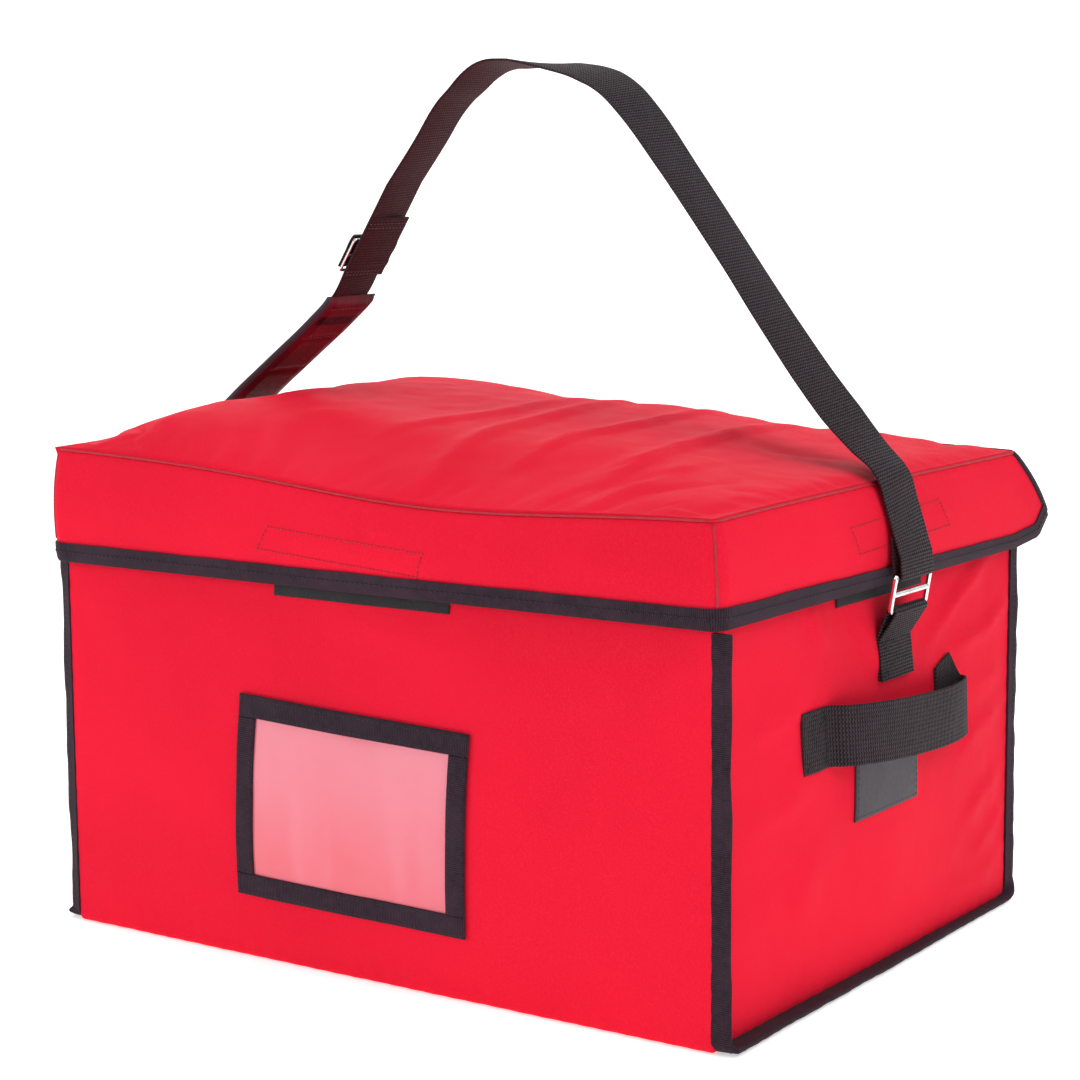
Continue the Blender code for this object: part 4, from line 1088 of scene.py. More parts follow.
def run_tree(name, tree, base, values):
    """Runs a tree on a mesh and keeps the result as a plain mesh object."""
    holder = bpy.data.objects.new(name + "_line", base)
    bpy.context.scene.collection.objects.link(holder)
    modifier = holder.modifiers.new("Nodes", "NODES")
    modifier.node_group = tree
    for item in tree.interface.items_tree:
        if item.in_out == "INPUT" and item.name in values:
            modifier[item.identifier] = values[item.name]
    graph = bpy.context.evaluated_depsgraph_get()
    data = bpy.data.meshes.new_from_object(holder.evaluated_get(graph), preserve_all_data_layers=True,
                                           depsgraph=graph)
    bpy.data.objects.remove(holder, do_unlink=True)
    data.name = name
    if not data.polygons:
        raise RuntimeError(f"{name} came out empty")
    obj = bpy.data.objects.new(name, data)
    bpy.context.scene.collection.objects.link(obj)
    return obj


def line_mesh(lines, across=None):
    """A mesh of open lines, each an array of points, with the direction of its width at every point."""
    points, edges = [], []
    for line in lines:
        start = len(points)
        points += [tuple(point) for point in line]
        edges += [(start + i, start + i + 1) for i in range(len(line) - 1)]
    data = bpy.data.meshes.new("line")
    data.from_pydata(points, edges, [])
    if across is not None:
        layer = data.attributes.new("across", "FLOAT_VECTOR", "POINT")
        layer.data.foreach_set("vector", np.asarray(across, np.float32).ravel())
    return data


def band(name, line, across, width, thick, material, edge=None):
    """Webbing or tape along a line."""
    values = {"Width": width, "Thickness": thick, "Edge": edge or thick * 0.45, "Material": material}
    obj = run_tree(name, band_tree(), line_mesh([line], across), values)
    face_out(obj.data)
    smooth(obj.data)
    obj.data.set_sharp_from_angle(angle=math.radians(50))
    return obj


def stitches(name, lines, material, slot, body, pitch=None, length=None, width=None):
    """Rows of stitches along lines that lie on the cloth."""
    values = {"Pitch": pitch or sizes().stitch_pitch, "Length": length or sizes().stitch_length,
              "Thread": width or sizes().thread_width, "Material": material}
    obj = run_tree(name, stitch_tree(), line_mesh(lines), values)
    smooth(obj.data)
    return dress(obj, material, slot, body)


def outline(low_a, high_a, low_b, high_b, step=0.004):
    """A rectangle's outline as rows of (a, b), each side a row."""
    corners = ((low_a, low_b), (high_a, low_b), (high_a, high_b), (low_a, high_b), (low_a, low_b))
    rows = []
    for (a0, b0), (a1, b1) in zip(corners, corners[1:]):
        count = max(2, round(math.hypot(a1 - a0, b1 - b0) / step))
        rows.append(np.stack([np.linspace(a0, a1, count), np.linspace(b0, b1, count)], axis=1))
    return rows


def cross_box(low_a, high_a, low_b, high_b):
    """A box stitch with its two diagonals."""
    rows = outline(low_a, high_a, low_b, high_b)
    for start, stop in (((low_a, low_b), (high_a, high_b)), ((low_a, high_b), (high_a, low_b))):
        rows.append(np.stack([np.linspace(start[i], stop[i], 10) for i in range(2)], axis=1))
    return rows


# Pieces


def wall_loop(inset, step):
    """The body's outline seen from above, drawn in by inset: places, normals and run round it."""
    radius = max(BODY_RADIUS - inset, CLEAR)
    flat_x = HALF_WIDTH - BODY_RADIUS
    flat_y = HALF_DEPTH - BODY_RADIUS
    counts = (round(2 * flat_x / step), round(2 * flat_y / step))
    places, normals = [], []
    sides = (
        ((-1, -1), (1, -1), (0, -1), counts[0]), ((1, -1), (1, 1), (1, 0), counts[1]),
        ((1, 1), (-1, 1), (0, 1), counts[0]), ((-1, 1), (-1, -1), (-1, 0), counts[1]),
    )
    for start, stop, normal, count in sides:
        for t in np.linspace(0, 1, count):
            x = between(start[0], stop[0], t) * flat_x
            y = between(start[1], stop[1], t) * flat_y
            places.append((x + normal[0] * radius, y + normal[1] * radius))
            normals.append(normal)
        turn = math.atan2(normal[1], normal[0])
        for k in (1, 2, 3):
            angle = turn + math.radians(22.5 * k)
            way = (math.cos(angle), math.sin(angle))
            places.append((stop[0] * flat_x + way[0] * radius, stop[1] * flat_y + way[1] * radius))
            normals.append(way)
    return np.array(places), np.array(normals)


def body_skin(inset, step):
    """Rows of the body's fabric from its rim down and in under the bottom."""
    places, normals = wall_loop(inset, step)
    x, y = places[:, 0], places[:, 1]
    rows = []
    heights = np.concatenate([np.linspace(WALL_TOP, 0.012, 66), (0.008, 0.005)])
    for z in heights:
        out = np.where(normals[:, 1] < 0, front_out(x, z), back_out(x, z)) * np.abs(normals[:, 1])
        sides = np.where(normals[:, 0] > 0, side_out(1, y, z), side_out(-1, y, z))
        out = out + sides * np.abs(normals[:, 0])
        rows.append(stack(x + normals[:, 0] * out, y + normals[:, 1] * out, z))
    foot = np.array(rows[-1])
    for degrees in (20, 45, 70, 90):
        turn = math.radians(degrees)
        back = FOOT_RADIUS * (1 - math.cos(turn))
        rows.append(stack(foot[:, 0] - normals[:, 0] * back, foot[:, 1] - normals[:, 1] * back,
                          inset + (FOOT_RADIUS + 0.0005) * (1 - math.sin(turn))))
    floor_row = rows[-1]
    for share in (0.94, 0.8, 0.55):
        rows.append(floor_row * (share, share, 1.0))
    return np.array(rows)


class BAG_OT_body(bpy.types.Operator):
    """Makes the slack fabric body with its creases"""

    bl_idname = "bag.body"
    bl_label = "Body fabric"

    def execute(self, context):
        outer = body_skin(0.0, BODY_STEP)
        inner = body_skin(FABRIC, BODY_STEP)
        places, _ = wall_loop(0.0, BODY_STEP)
        run = along_path(places)
        fall = along_path(outer[:, 0])
        cloth = stack(run[None, :], -fall[:, None], 0.0)
        obj = two_skins("body_fabric", outer, inner, cloth, wrap=True, lids=True)
        dress(obj, coated_fabric(), "coated_fabric", "bag", "outer_wrap", "side_panel_right",
              "side_panel_left")
        return {"FINISHED"}


def fin_path(side):
    """Places of a side seam's binding from front top to back top.

    Each is its root, fold direction, thickness direction and reach.
    """
    rows = []
    low = 0.0050
    face = -HALF_DEPTH + FIN_THICK / 2
    floor = CLEAR + FIN_THICK / 2
    for z in np.linspace(FIN_TOP, floor + low, 54):
        rows.append(((HALF_WIDTH + CLEAR, face, z), (1, 0, 0), (0, -1, 0), FIN_OUT))
    for degrees in (18, 36, 54, 72):
        turn = math.radians(degrees)
        root = (HALF_WIDTH + CLEAR, face + low * (1 - math.cos(turn)), floor + low * (1 - math.sin(turn)))
        thick = (0, -math.cos(turn), -math.sin(turn))
        rows.append((root, (1, 0, 0), thick, between(FIN_OUT, BASE_FIN_FRONT, turn)))
    turning = 0.012
    for y in np.linspace(face + low, HALF_DEPTH - turning, 72):
        reach = between(BASE_FIN_FRONT, BASE_FIN_BACK, (y - face - low) / (2 * HALF_DEPTH - turning))
        out = float(side_out(side, y, FIN_THICK))
        rows.append(((HALF_WIDTH + CLEAR + out, y, floor), (1, 0, 0), (0, 0, -1), reach))
    start, stop = rows[-1], ((HALF_WIDTH, HALF_DEPTH + CLEAR, turning), (0, 1, 0), (1, 0, 0), FIN_OUT)
    corner = (HALF_WIDTH + CLEAR, HALF_DEPTH, floor)
    for t in np.linspace(0, 1, 9)[1:-1]:
        place = [(1 - t) ** 2 * a + 2 * t * (1 - t) * b + t**2 * c
                 for a, b, c in zip(start[0], corner, stop[0])]
        way = Vector(between(np.array(start[1]), np.array(stop[1]), t)).normalized()
        thick = Vector(between(np.array(start[2]), np.array(stop[2]), t)).normalized()
        rows.append((tuple(place), tuple(way), tuple(thick), between(start[3], stop[3], t)))
    for z in np.linspace(turning, FIN_TOP, 52):
        rows.append(((HALF_WIDTH, HALF_DEPTH + CLEAR, z), (0, 1, 0), (1, 0, 0), FIN_OUT))
    return rows


def fold_section(width, thick):
    """Half-round fold: (out along the fold, across its thickness), closed."""
    half = thick / 2
    nose = [(width - half + half * math.cos(math.radians(a)), half * math.sin(math.radians(a)))
            for a in (-90, -50, -15, 15, 50, 90)]
    lower = [(SIDE_TAPE_ROOT, -half * 0.9), (width * 0.45, -half * 1.02)]
    upper = [(width * 0.45, half * 1.02), (SIDE_TAPE_ROOT, half * 0.9)]
    return lower + nose + upper


class BAG_OT_side_bindings(bpy.types.Operator):
    """Makes the tape folded over each side seam, and its stitches"""

    bl_idname = "bag.side_bindings"
    bl_label = "Side bindings"

    def execute(self, context):
        for word, side in (("right", 1), ("left", -1)):
            path = fin_path(side)
            rings, cloth, row = [], [], []
            gone = 0.0
            seed = 61 if side > 0 else 66
            for i, (root, way, thick, reach) in enumerate(path):
                root, way, thick = Vector(root), Vector(way), Vector(thick)
                if i:
                    gone += (root - Vector(path[i - 1][0])).length
                lean = 0.16 * float(ripple(gone, 0.0, 0.03, seed))
                lean += 0.08 * float(ripple(gone, 0.0, 0.011, seed + 1))
                width = reach + 0.0004 + 0.0006 * float(ripple(gone, 0.0, 0.025, seed + 2))
                if thick.z < -0.5:
                    lean = -0.06 - 0.25 * abs(lean)
                elif side < 0 and thick.y < -0.5:
                    lean -= 0.45
                turned = (way + thick * lean).normalized()
                flat = (thick - turned * thick.dot(turned)).normalized()
                section = fold_section(width, FIN_THICK)
                ring = [root + turned * a + flat * b for a, b in section]
                rings.append([(side * p.x, p.y, p.z) for p in ring])
                cloth.append([(gone, a + abs(b), 0.0) for a, b in section])
                seat = root + turned * (width * 0.52) + flat * (FIN_THICK * 0.53)
                row.append((side * seat.x, seat.y, seat.z))
            obj = loft(f"side_seam_tape_{word}", np.array(rings), np.array(cloth), sharp=60)
            dress(obj, binding_tape(), "binding_tape", "bag", f"side_binding_{word}")
            stitches(f"side_seam_stitches_{word}", [row], tape_thread(), "binding_tape", "bag")
        return {"FINISHED"}


def window_lean(x, z):
    """The pocket leans with the slack front and is a little lower on its right."""
    across = (x - WINDOW_X) / (WINDOW_WIDTH / 2)
    up = z - WINDOW_Z
    sag = WINDOW_SAG * (across + 1) / 2 * (0.5 - up / WINDOW_HEIGHT)
    return x + WINDOW_LEAN_SHARE * up, WINDOW_Z + up * (1 - WINDOW_TAPER_SHARE * across) - sag


def window_place(left, low):
    def place(a, b, off):
        x, z = window_lean(left + a, low + b)
        return front_place(x, z, off)

    return place


class BAG_OT_window(bpy.types.Operator):
    """Makes the window's sheet, its four tapes and their stitches"""

    bl_idname = "bag.window"
    bl_label = "Window pocket"

    def execute(self, context):
        half_w, half_h = WINDOW_WIDTH / 2, WINDOW_HEIGHT / 2
        left, right = WINDOW_X - half_w, WINDOW_X + half_w
        low, high = WINDOW_Z - half_h, WINDOW_Z + half_h
        tuck = WINDOW_TAPE / 2
        width, height = WINDOW_WIDTH - 2 * tuck, WINDOW_HEIGHT - 2 * tuck
        sheet_place = window_place(left + tuck, low + tuck)

        def slack(a, b, off):
            billow = 0.0012 * hump(a / width) * hump(b / height) + 0.0003 * ripple(a, b, 0.03, 71)
            return sheet_place(a, b, off + billow)

        sheet = plaque("window_vinyl", slack, width, height, CLEAR, WINDOW_SHEET, (44, 32), 0.0005)
        dress(sheet, window_vinyl(), "vinyl_sheet", "bag", "window_sheet")
        off = 2 * CLEAR + WINDOW_SHEET
        inner_low, inner_high = low + WINDOW_TAPE, high - WINDOW_TAPE
        strips = (
            ("bottom", left, low, WINDOW_WIDTH, WINDOW_TAPE, (46, 3)),
            ("top", left, inner_high, WINDOW_WIDTH, WINDOW_TAPE, (46, 3)),
            ("left", left, inner_low, WINDOW_TAPE, inner_high - inner_low, (3, 30)),
            ("right", right - WINDOW_TAPE, inner_low, WINDOW_TAPE, inner_high - inner_low, (3, 30)),
        )
        rows = []
        for word, a, b, wide, tall, cells in strips:
            strip = plaque(f"window_tape_{word}_cloth", window_place(a, b), wide, tall, off, TAPE + TAPE_PUFF,
                           cells, 0.0009)
            if tall > wide:
                turn_cloth(strip)
            dress(strip, binding_tape(), "binding_tape", "bag", f"window_tape_{word}")
        for inset in (TAPE_ROW_INSET, WINDOW_TAPE - TAPE_ROW_INSET):
            for line in outline(left + inset, right - inset, low + inset, high - inset):
                x, z = window_lean(line[:, 0], line[:, 1])
                rows.append(front_place(x, z, off + TAPE + TAPE_PUFF))
        stitches("window_stitches", rows, tape_thread(), "binding_tape", "bag")
        return {"FINISHED"}


def turn_cloth(obj):
    """Swaps along and across in a piece's cloth coordinates."""
    layer = obj.data.attributes["cloth"].data
    values = np.empty(len(layer) * 3, np.float32)
    layer.foreach_get("vector", values)
    values = values.reshape(-1, 3)[:, (1, 0, 2)]
    layer.foreach_set("vector", values.ravel())


class BAG_OT_fasteners(bpy.types.Operator):
    """Makes the loop strips on the body and gives the hook strips inside the skirts their finish"""

    bl_idname = "bag.fasteners"
    bl_label = "Loop and hook strips"

    def execute(self, context):
        strip = plaque("loop_pile_front",
                       lambda a, b, off: front_place(FRONT_LOOP[0] + a, FRONT_LOOP_Z + b, off),
                       FRONT_LOOP[1] - FRONT_LOOP[0], LOOP_HEIGHT, CLEAR, TAPE, (34, 9))
        dress(strip, fuzz(), "webbing", "bag", "front_loop_strip")
        low = SIDE_LOOP_Z - LOOP_SHOW
        for word, side in (("right", 1), ("left", -1)):
            strip = plaque(f"loop_pile_{word}",
                           lambda a, b, off, side=side: side_place(side, SIDE_LOOP[0] + a, low + b, off),
                           SIDE_LOOP[1] - SIDE_LOOP[0], LOOP_HEIGHT + LOOP_SHOW, CLEAR, TAPE, (28, 9))
            dress(strip, fuzz(), "webbing", "bag", f"{word}_loop_strip")
        for node in ("front_hook_strip", "right_hook_strip", "left_hook_strip"):
            paint(node, fuzz())
        return {"FINISHED"}


def paint(node, material):
    """Gives a solid of the model a better material."""
    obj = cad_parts[node]
    for slot in obj.material_slots:
        slot.material = material


class BAG_OT_label(bpy.types.Operator):
    """Makes the bare label patch and its stitches"""

    bl_idname = "bag.label"
    bl_label = "Label patch"

    def execute(self, context):
        y, z = LABEL_Y - LABEL_WIDTH / 2, LABEL_Z - LABEL_HEIGHT / 2
        patch = plaque("label_rubber", lambda a, b, off: side_place(1, y + a, z + b, off), LABEL_WIDTH,
                       LABEL_HEIGHT, CLEAR, LABEL_THICK, (24, 16), 0.0007)
        dress(patch, label_rubber(), "webbing", "bag", "label_patch")
        inset = TAPE_ROW_INSET
        rows = [side_place(1, line[:, 0], line[:, 1], CLEAR + LABEL_THICK)
                for line in outline(y + inset, y + LABEL_WIDTH - inset, z + inset, z + LABEL_HEIGHT - inset)]
        stitches("label_stitches", rows, tape_thread(), "webbing", "bag", width=0.0005)
        return {"FINISHED"}


def handle_line():
    """The handle's run as (y, distance from the panel), front end to rear end."""
    flat = CLEAR + WEBBING / 2
    front = [(HANDLE_FRONT, flat), (between(HANDLE_FRONT, HANDLE_CREASE, 0.5), flat),
             (HANDLE_CREASE - 0.002, flat), (HANDLE_CUT - 0.002, HANDLE_RISE * 0.92)]
    bow = [(between(HANDLE_CUT, HANDLE_REAR_CUT, y), between(HANDLE_RISE, HANDLE_OFF, off))
           for y, off in HANDLE_BOW]
    end = between(HANDLE_RISE, HANDLE_OFF, 0.6)
    turn = [(HANDLE_REAR_CUT + CLEAR, end), (HANDLE_REAR - FABRIC, end - 2 * FABRIC), (HANDLE_REAR, end / 2),
            (HANDLE_REAR - 2 * FABRIC, 2 * FABRIC), (HANDLE_REAR_CUT - 2 * FABRIC, flat),
            (between(HANDLE_REAR_CUT, HANDLE_REAR_TAB, 0.4), flat), (HANDLE_REAR_TAB, flat)]
    return smooth_line([(y, off, 0.0) for y, off in front + bow + turn], 130)[:, :2]


def handle_height(run):
    """The handle's middle height: its grip sags and its rear end is sewn a little high."""
    rear = int(np.argmax(run[:, 0]))
    gone = along_path(run)
    bow = np.clip((run[:, 0] - HANDLE_CREASE) / (HANDLE_REAR_CUT - HANDLE_CREASE), 0, 1)
    drop = -HANDLE_SAG * np.sin(bow * math.pi / 2) ** 1.3
    end = np.interp(gone - gone[rear], HANDLE_END_RUN, HANDLE_END_RISE)
    return HANDLE_Z + np.where(np.arange(len(run)) <= rear, drop, end)


class BAG_OT_handles(bpy.types.Operator):
    """Makes the two side handles with their cross stitches"""

    bl_idname = "bag.handles"
    bl_label = "Side handles"

    def execute(self, context):
        run = handle_line()
        for word, side in (("right", 1), ("left", -1)):
            height = handle_height(run)
            middle = side_place(side, run[:, 0], height, run[:, 1])
            upper = side_place(side, run[:, 0], height + HANDLE_WIDTH / 2, run[:, 1])
            lower = side_place(side, run[:, 0], height - HANDLE_WIDTH / 2, run[:, 1])
            lean = upper - lower
            lean[:, 1] = 0
            across = lean / np.linalg.norm(lean, axis=1)[:, None]
            handle = band(f"handle_webbing_{word}", middle, across, HANDLE_WIDTH, WEBBING, webbing_cloth())
            nodes = [f"handle_{word}_{part}" for part in ("front_tab", "rear_tab", "grip")]
            dress(handle, webbing_cloth(), "webbing", None, *nodes)
            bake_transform(handle)
            reach = HANDLE_WIDTH / 2 - WEBBING_ROW_INSET
            boxes = cross_box(HANDLE_FRONT + WEBBING_ROW_INSET, HANDLE_CREASE - 2 * WEBBING_ROW_INSET,
                              HANDLE_Z - reach, HANDLE_Z + reach)
            rows = [side_place(side, line[:, 0], line[:, 1], CLEAR + WEBBING) for line in boxes]
            stitches(f"handle_stitches_{word}", rows, tape_thread(), "webbing", "bag")
        return {"FINISHED"}


class BAG_OT_anchor_tabs(bpy.types.Operator):
    """Makes the webbing tabs that hold the rings, with their box stitches"""

    bl_idname = "bag.anchor_tabs"
    bl_label = "Anchor tabs"

    def execute(self, context):
        bend = WIRE + CLEAR + WEBBING / 2
        inner = CLEAR + WEBBING / 2
        outer = inner + WEBBING + CLEAR
        for word, side in (("right", 1), ("left", -1)):
            heights = np.linspace(TAB_LOW, TAB_BEND, 6)
            up = [(abs(side_place(side, TAB_Y, z, outer)[0]), z) for z in heights]
            down = [(abs(side_place(side, TAB_Y, z, inner)[0]), z) for z in reversed(heights)]
            slope = math.degrees(math.atan2(RING_LOW[1] - TAB_BEND, RING_LOW[0] - up[-1][0]))
            turn = arc(RING_LOW, bend, slope - 90, slope + 90, 9)
            line = np.array([(side * x, TAB_Y, z) for x, z in up + turn + down])
            across = level_ways(line)
            tab = band(f"ring_tab_{word}", line, across, WEB_WIDTH, WEBBING, webbing_cloth())
            dress(tab, webbing_cloth(), "webbing", None, f"anchor_tab_{word}")
            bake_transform(tab)
            reach = WEB_WIDTH / 2 - WEBBING_ROW_INSET
            boxes = cross_box(TAB_Y - reach, TAB_Y + reach, TAB_LOW + WEBBING_ROW_INSET, TAB_BEND - 0.002)
            rows = [side_place(side, line[:, 0], line[:, 1], outer + WEBBING / 2) for line in boxes]
            stitches(f"ring_tab_stitches_{word}", rows, tape_thread(), "webbing", "bag")
        return {"FINISHED"}


def strap_halves():
    leg = [(x, STRAP_Y, z) for x, z in (LEG_STRAIGHT, LEG_LOW)]
    right = smooth_line(list(STRAP_RIGHT) + leg[:1], 150)
    left = smooth_line(leg[1:] + list(STRAP_LEFT), 80)
    return right, left


def end_loop(side):
    """The strap's end round the ring's upper bar, from its outer layer to the short inner layer."""
    bend = WIRE + CLEAR + WEBBING / 2
    x, z = RING_HIGH
    turn = arc((x, z), bend, 0, -180, 9)
    tail_x = x - bend
    points = turn + [(tail_x, z + 2 * WIRE), (tail_x - WEBBING, STRAP_TAIL_Z)]
    return np.array([(side * px, TAB_Y, pz) for px, pz in points])


def widths_across(line, twist):
    """Direction of the strap's width at every point: front to back, turned by twist degrees."""
    ways = np.gradient(line, axis=0)
    made = []
    for way, degrees in zip(ways, twist):
        way = Vector(way).normalized()
        flat = (Vector((0, 1, 0)) - way * way.y).normalized()
        made.append(Matrix.Rotation(math.radians(degrees), 3, way) @ flat)
    return np.array([tuple(way) for way in made])


class BAG_OT_strap(bpy.types.Operator):
    """Makes the shoulder strap's webbing"""

    bl_idname = "bag.strap"
    bl_label = "Strap webbing"

    def execute(self, context):
        right, left = strap_halves()
        line = np.concatenate([end_loop(1)[::-1], right, left, end_loop(-1)])
        twist = np.interp(line[:, 0], STRAP_TWIST_X, STRAP_TWIST)
        twist = np.where(line[:, 2] > STRAP_TWIST_LOW, twist, 0)
        strap = band("shoulder_strap", line, widths_across(line, twist), WEB_WIDTH, WEBBING,
                     webbing_cloth())
        dress(strap, strap_webbing_cloth(), "webbing", "strap", "strap_webbing")
        return {"FINISHED"}


class BAG_OT_shoulder_pad(bpy.types.Operator):
    """Makes the shoulder pad with its rolled edge and stitched channels"""

    bl_idname = "bag.shoulder_pad"
    bl_label = "Shoulder pad"

    def execute(self, context):
        _, left = strap_halves()
        base = WEBBING / 2 + CLEAR
        rows, gone, kept = [], [], 0.0
        for i in range(1, len(left) - 1):
            if left[i][2] > PAD_TOP_Z:
                continue
            kept += float(np.linalg.norm(left[i] - left[i - 1]))
            if kept > PAD_LENGTH:
                break
            way = left[i + 1] - left[i - 1]
            inward = np.cross(way, (0.0, 1.0, 0.0))
            inward = inward / np.linalg.norm(inward)
            rows.append((left[i], inward if inward[0] > 0 else -inward))
            gone.append(kept)
        half = PAD_WIDTH / 2
        across = np.concatenate([[-half], np.linspace(-half + 0.0006, half - 0.0006, 25), [half]])
        gone = np.array(gone)
        span = gone[-1] - gone[0]
        ends = np.minimum(gone - gone[0], gone[-1] - gone)[:, None]
        sides = (half - np.abs(across))[None, :]
        near = np.minimum(ends, sides)
        thick = PAD_THICK * (0.15 + 0.75 * np.clip(near / PAD_EDGE, 0, 1) ** 0.6)
        for centre in PAD_SEAMS:
            dent = np.exp(-(((gone - gone[0])[:, None] - centre * span) / PAD_SEAM_WIDTH) ** 2)
            thick = thick - PAD_SEAM_DEPTH * dent * np.clip((sides - PAD_EDGE) / 0.003, 0, 1)
        thick = thick - PAD_ROLL * np.exp(-((sides - PAD_ROLL_AT) / PAD_ROLL) ** 2)
        centres = np.array([row[0] for row in rows])[:, None, :]
        inward = np.array([row[1] for row in rows])[:, None, :]
        flat = np.array((0.0, 1.0, 0.0))[None, None, :] * across[None, :, None]
        inner = centres + flat + inward * (base + np.clip(thick, 0.0008, None))[:, :, None]
        outer = centres + flat + inward * base
        cloth = stack(gone[:, None], across[None, :], 1.0)
        pad = two_skins("pad_cover", inner, outer, cloth)
        dress(pad, pad_vinyl(), "pad", "strap", "shoulder_pad")
        lines = []
        for share in PAD_SEAMS:
            i = int(np.argmin(np.abs(gone - gone[0] - share * span)))
            reach = half - PAD_ROW_INSET
            lift = inward[i, 0] * (base + PAD_THICK - PAD_ROLL)
            lines.append(np.array([centres[i, 0] + np.array((0.0, y, 0.0)) + lift
                                   for y in np.linspace(-reach, reach, 12)]))
        stitches("pad_stitches", lines, thread("pad_thread_finish", (0.34, 0.06, 0.11)), "pad", "strap",
                 width=0.0006)
        return {"FINISHED"}


class BAG_OT_adjuster(bpy.types.Operator):
    """Makes the webbing end sewn round the adjuster's bar, and finishes the metal parts"""

    bl_idname = "bag.adjuster"
    bl_label = "Adjuster and rings"

    def execute(self, context):
        way = Vector((LEG_TOP[0] - LEG_LOW[0], 0.0, LEG_TOP[1] - LEG_LOW[1])).normalized()
        inward = Vector((way.z, 0.0, -way.x))
        share = (ADJUSTER_Z - LEG_LOW[1]) / (LEG_TOP[1] - LEG_LOW[1])
        middle = Vector((between(LEG_LOW[0], LEG_TOP[0], share), STRAP_Y, ADJUSTER_Z))
        near = WEBBING / 2 + CLEAR + WEBBING / 2
        places = [tuple(middle + way * a + inward * (near + lift)) for a, lift in ADJUSTER_PATH]
        line = smooth_line(places, 44)
        across = level_ways(line)
        loop = band("adjuster_webbing", line, across, WEB_WIDTH, WEBBING * 0.9, webbing_cloth())
        rows = [np.array([tuple(middle + Vector((0.0, y, 0.0)) + way * a + inward * (near + WEBBING / 2))
                          for y in np.linspace(-ADJUSTER_ROW_HALF, ADJUSTER_ROW_HALF, 12)])
                for a in ADJUSTER_ROWS]
        sewing = thread("strap_thread_finish", (0.09, 0.05, 0.06))
        stitches("adjuster_stitches", rows, sewing, "webbing", "adjuster")
        back = middle - inward * (WEBBING / 2 + CLEAR / 2 + ADJUSTER_WIRE)
        half_y, half_l = WEB_WIDTH / 2, ADJUSTER_LENGTH / 2 + ADJUSTER_WIRE
        corner = [(half_l * math.cos(t), half_y * math.sin(t)) for t in np.linspace(0, 2 * math.pi, 49)]
        ring = [(max(-half_l, min(half_l, a * 2.2)), max(-half_y, min(half_y, b * 2.2))) for a, b in corner]
        rim = np.array([tuple(back + way * a + Vector((0.0, b, 0.0))) for a, b in ring])
        bar = np.array([tuple(back + Vector((0.0, b, 0.0))) for b in np.linspace(-half_y, half_y, 9)])
        cover = -(WEBBING + CLEAR + ADJUSTER_WIRE * 2 + WEBBING / 2)
        path = [(0.0130, cover + 0.0006), (half_l, cover), (0.0, cover), (-half_l * 0.6, cover),
                (-half_l * 0.9, cover)]
        line = smooth_line([tuple(middle + way * a + inward * b) for a, b in path], 16)
        across = level_ways(line)
        wrap = band("adjuster_wrap", line, across, WEB_WIDTH, WEBBING * 0.9, webbing_cloth())
        dress(wrap, webbing_cloth(), "webbing", "adjuster")
        metal = tube("adjuster_metal", [rim, bar], ADJUSTER_WIRE, chrome(), "chromed_steel", "adjuster")
        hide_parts("adjuster_frame")
        dress(loop, strap_webbing_cloth(), "webbing", "adjuster", "adjuster_loop")
        for node in ("ring_right", "ring_left"):
            paint(node, chrome())
        return {"FINISHED"}


def inflate(obj, pinned, pressure, furthest):
    """Lets air pressure shape a closed skin; pinned points stay, and none moves further than furthest."""
    start = np.array([tuple(vert.co) for vert in obj.data.vertices])
    group = obj.vertex_groups.new(name="pinned")
    group.add([int(i) for i in np.flatnonzero(pinned)], 1.0, "REPLACE")
    cloth = obj.modifiers.new("Cloth", "CLOTH")
    cloth.settings.quality = 5
    cloth.settings.mass = 0.3
    cloth.settings.tension_stiffness = 12
    cloth.settings.compression_stiffness = 12
    cloth.settings.bending_stiffness = 0.8
    cloth.settings.shrink_min = -0.012
    cloth.settings.use_pressure = True
    cloth.settings.uniform_pressure_force = pressure
    cloth.settings.vertex_group_mass = "pinned"
    cloth.settings.effector_weights.gravity = 0.0
    cloth.collision_settings.use_collision = False
    cloth.point_cache.frame_start = 1
    cloth.point_cache.frame_end = 20
    scene = bpy.context.scene
    for step in range(1, 21):
        scene.frame_set(step)
    graph = bpy.context.evaluated_depsgraph_get()
    moved = np.array([tuple(vert.co) for vert in obj.evaluated_get(graph).data.vertices])
    obj.modifiers.remove(cloth)
    obj.vertex_groups.clear()
    scene.frame_set(1)
    shift = moved - start
    far = np.linalg.norm(shift, axis=1, keepdims=True)
    keep = furthest * np.tanh(far / furthest) / np.maximum(far, 1e-9)
    obj.data.vertices.foreach_set("co", (start + shift * keep).astype(np.float32).ravel())
    obj.data.update()


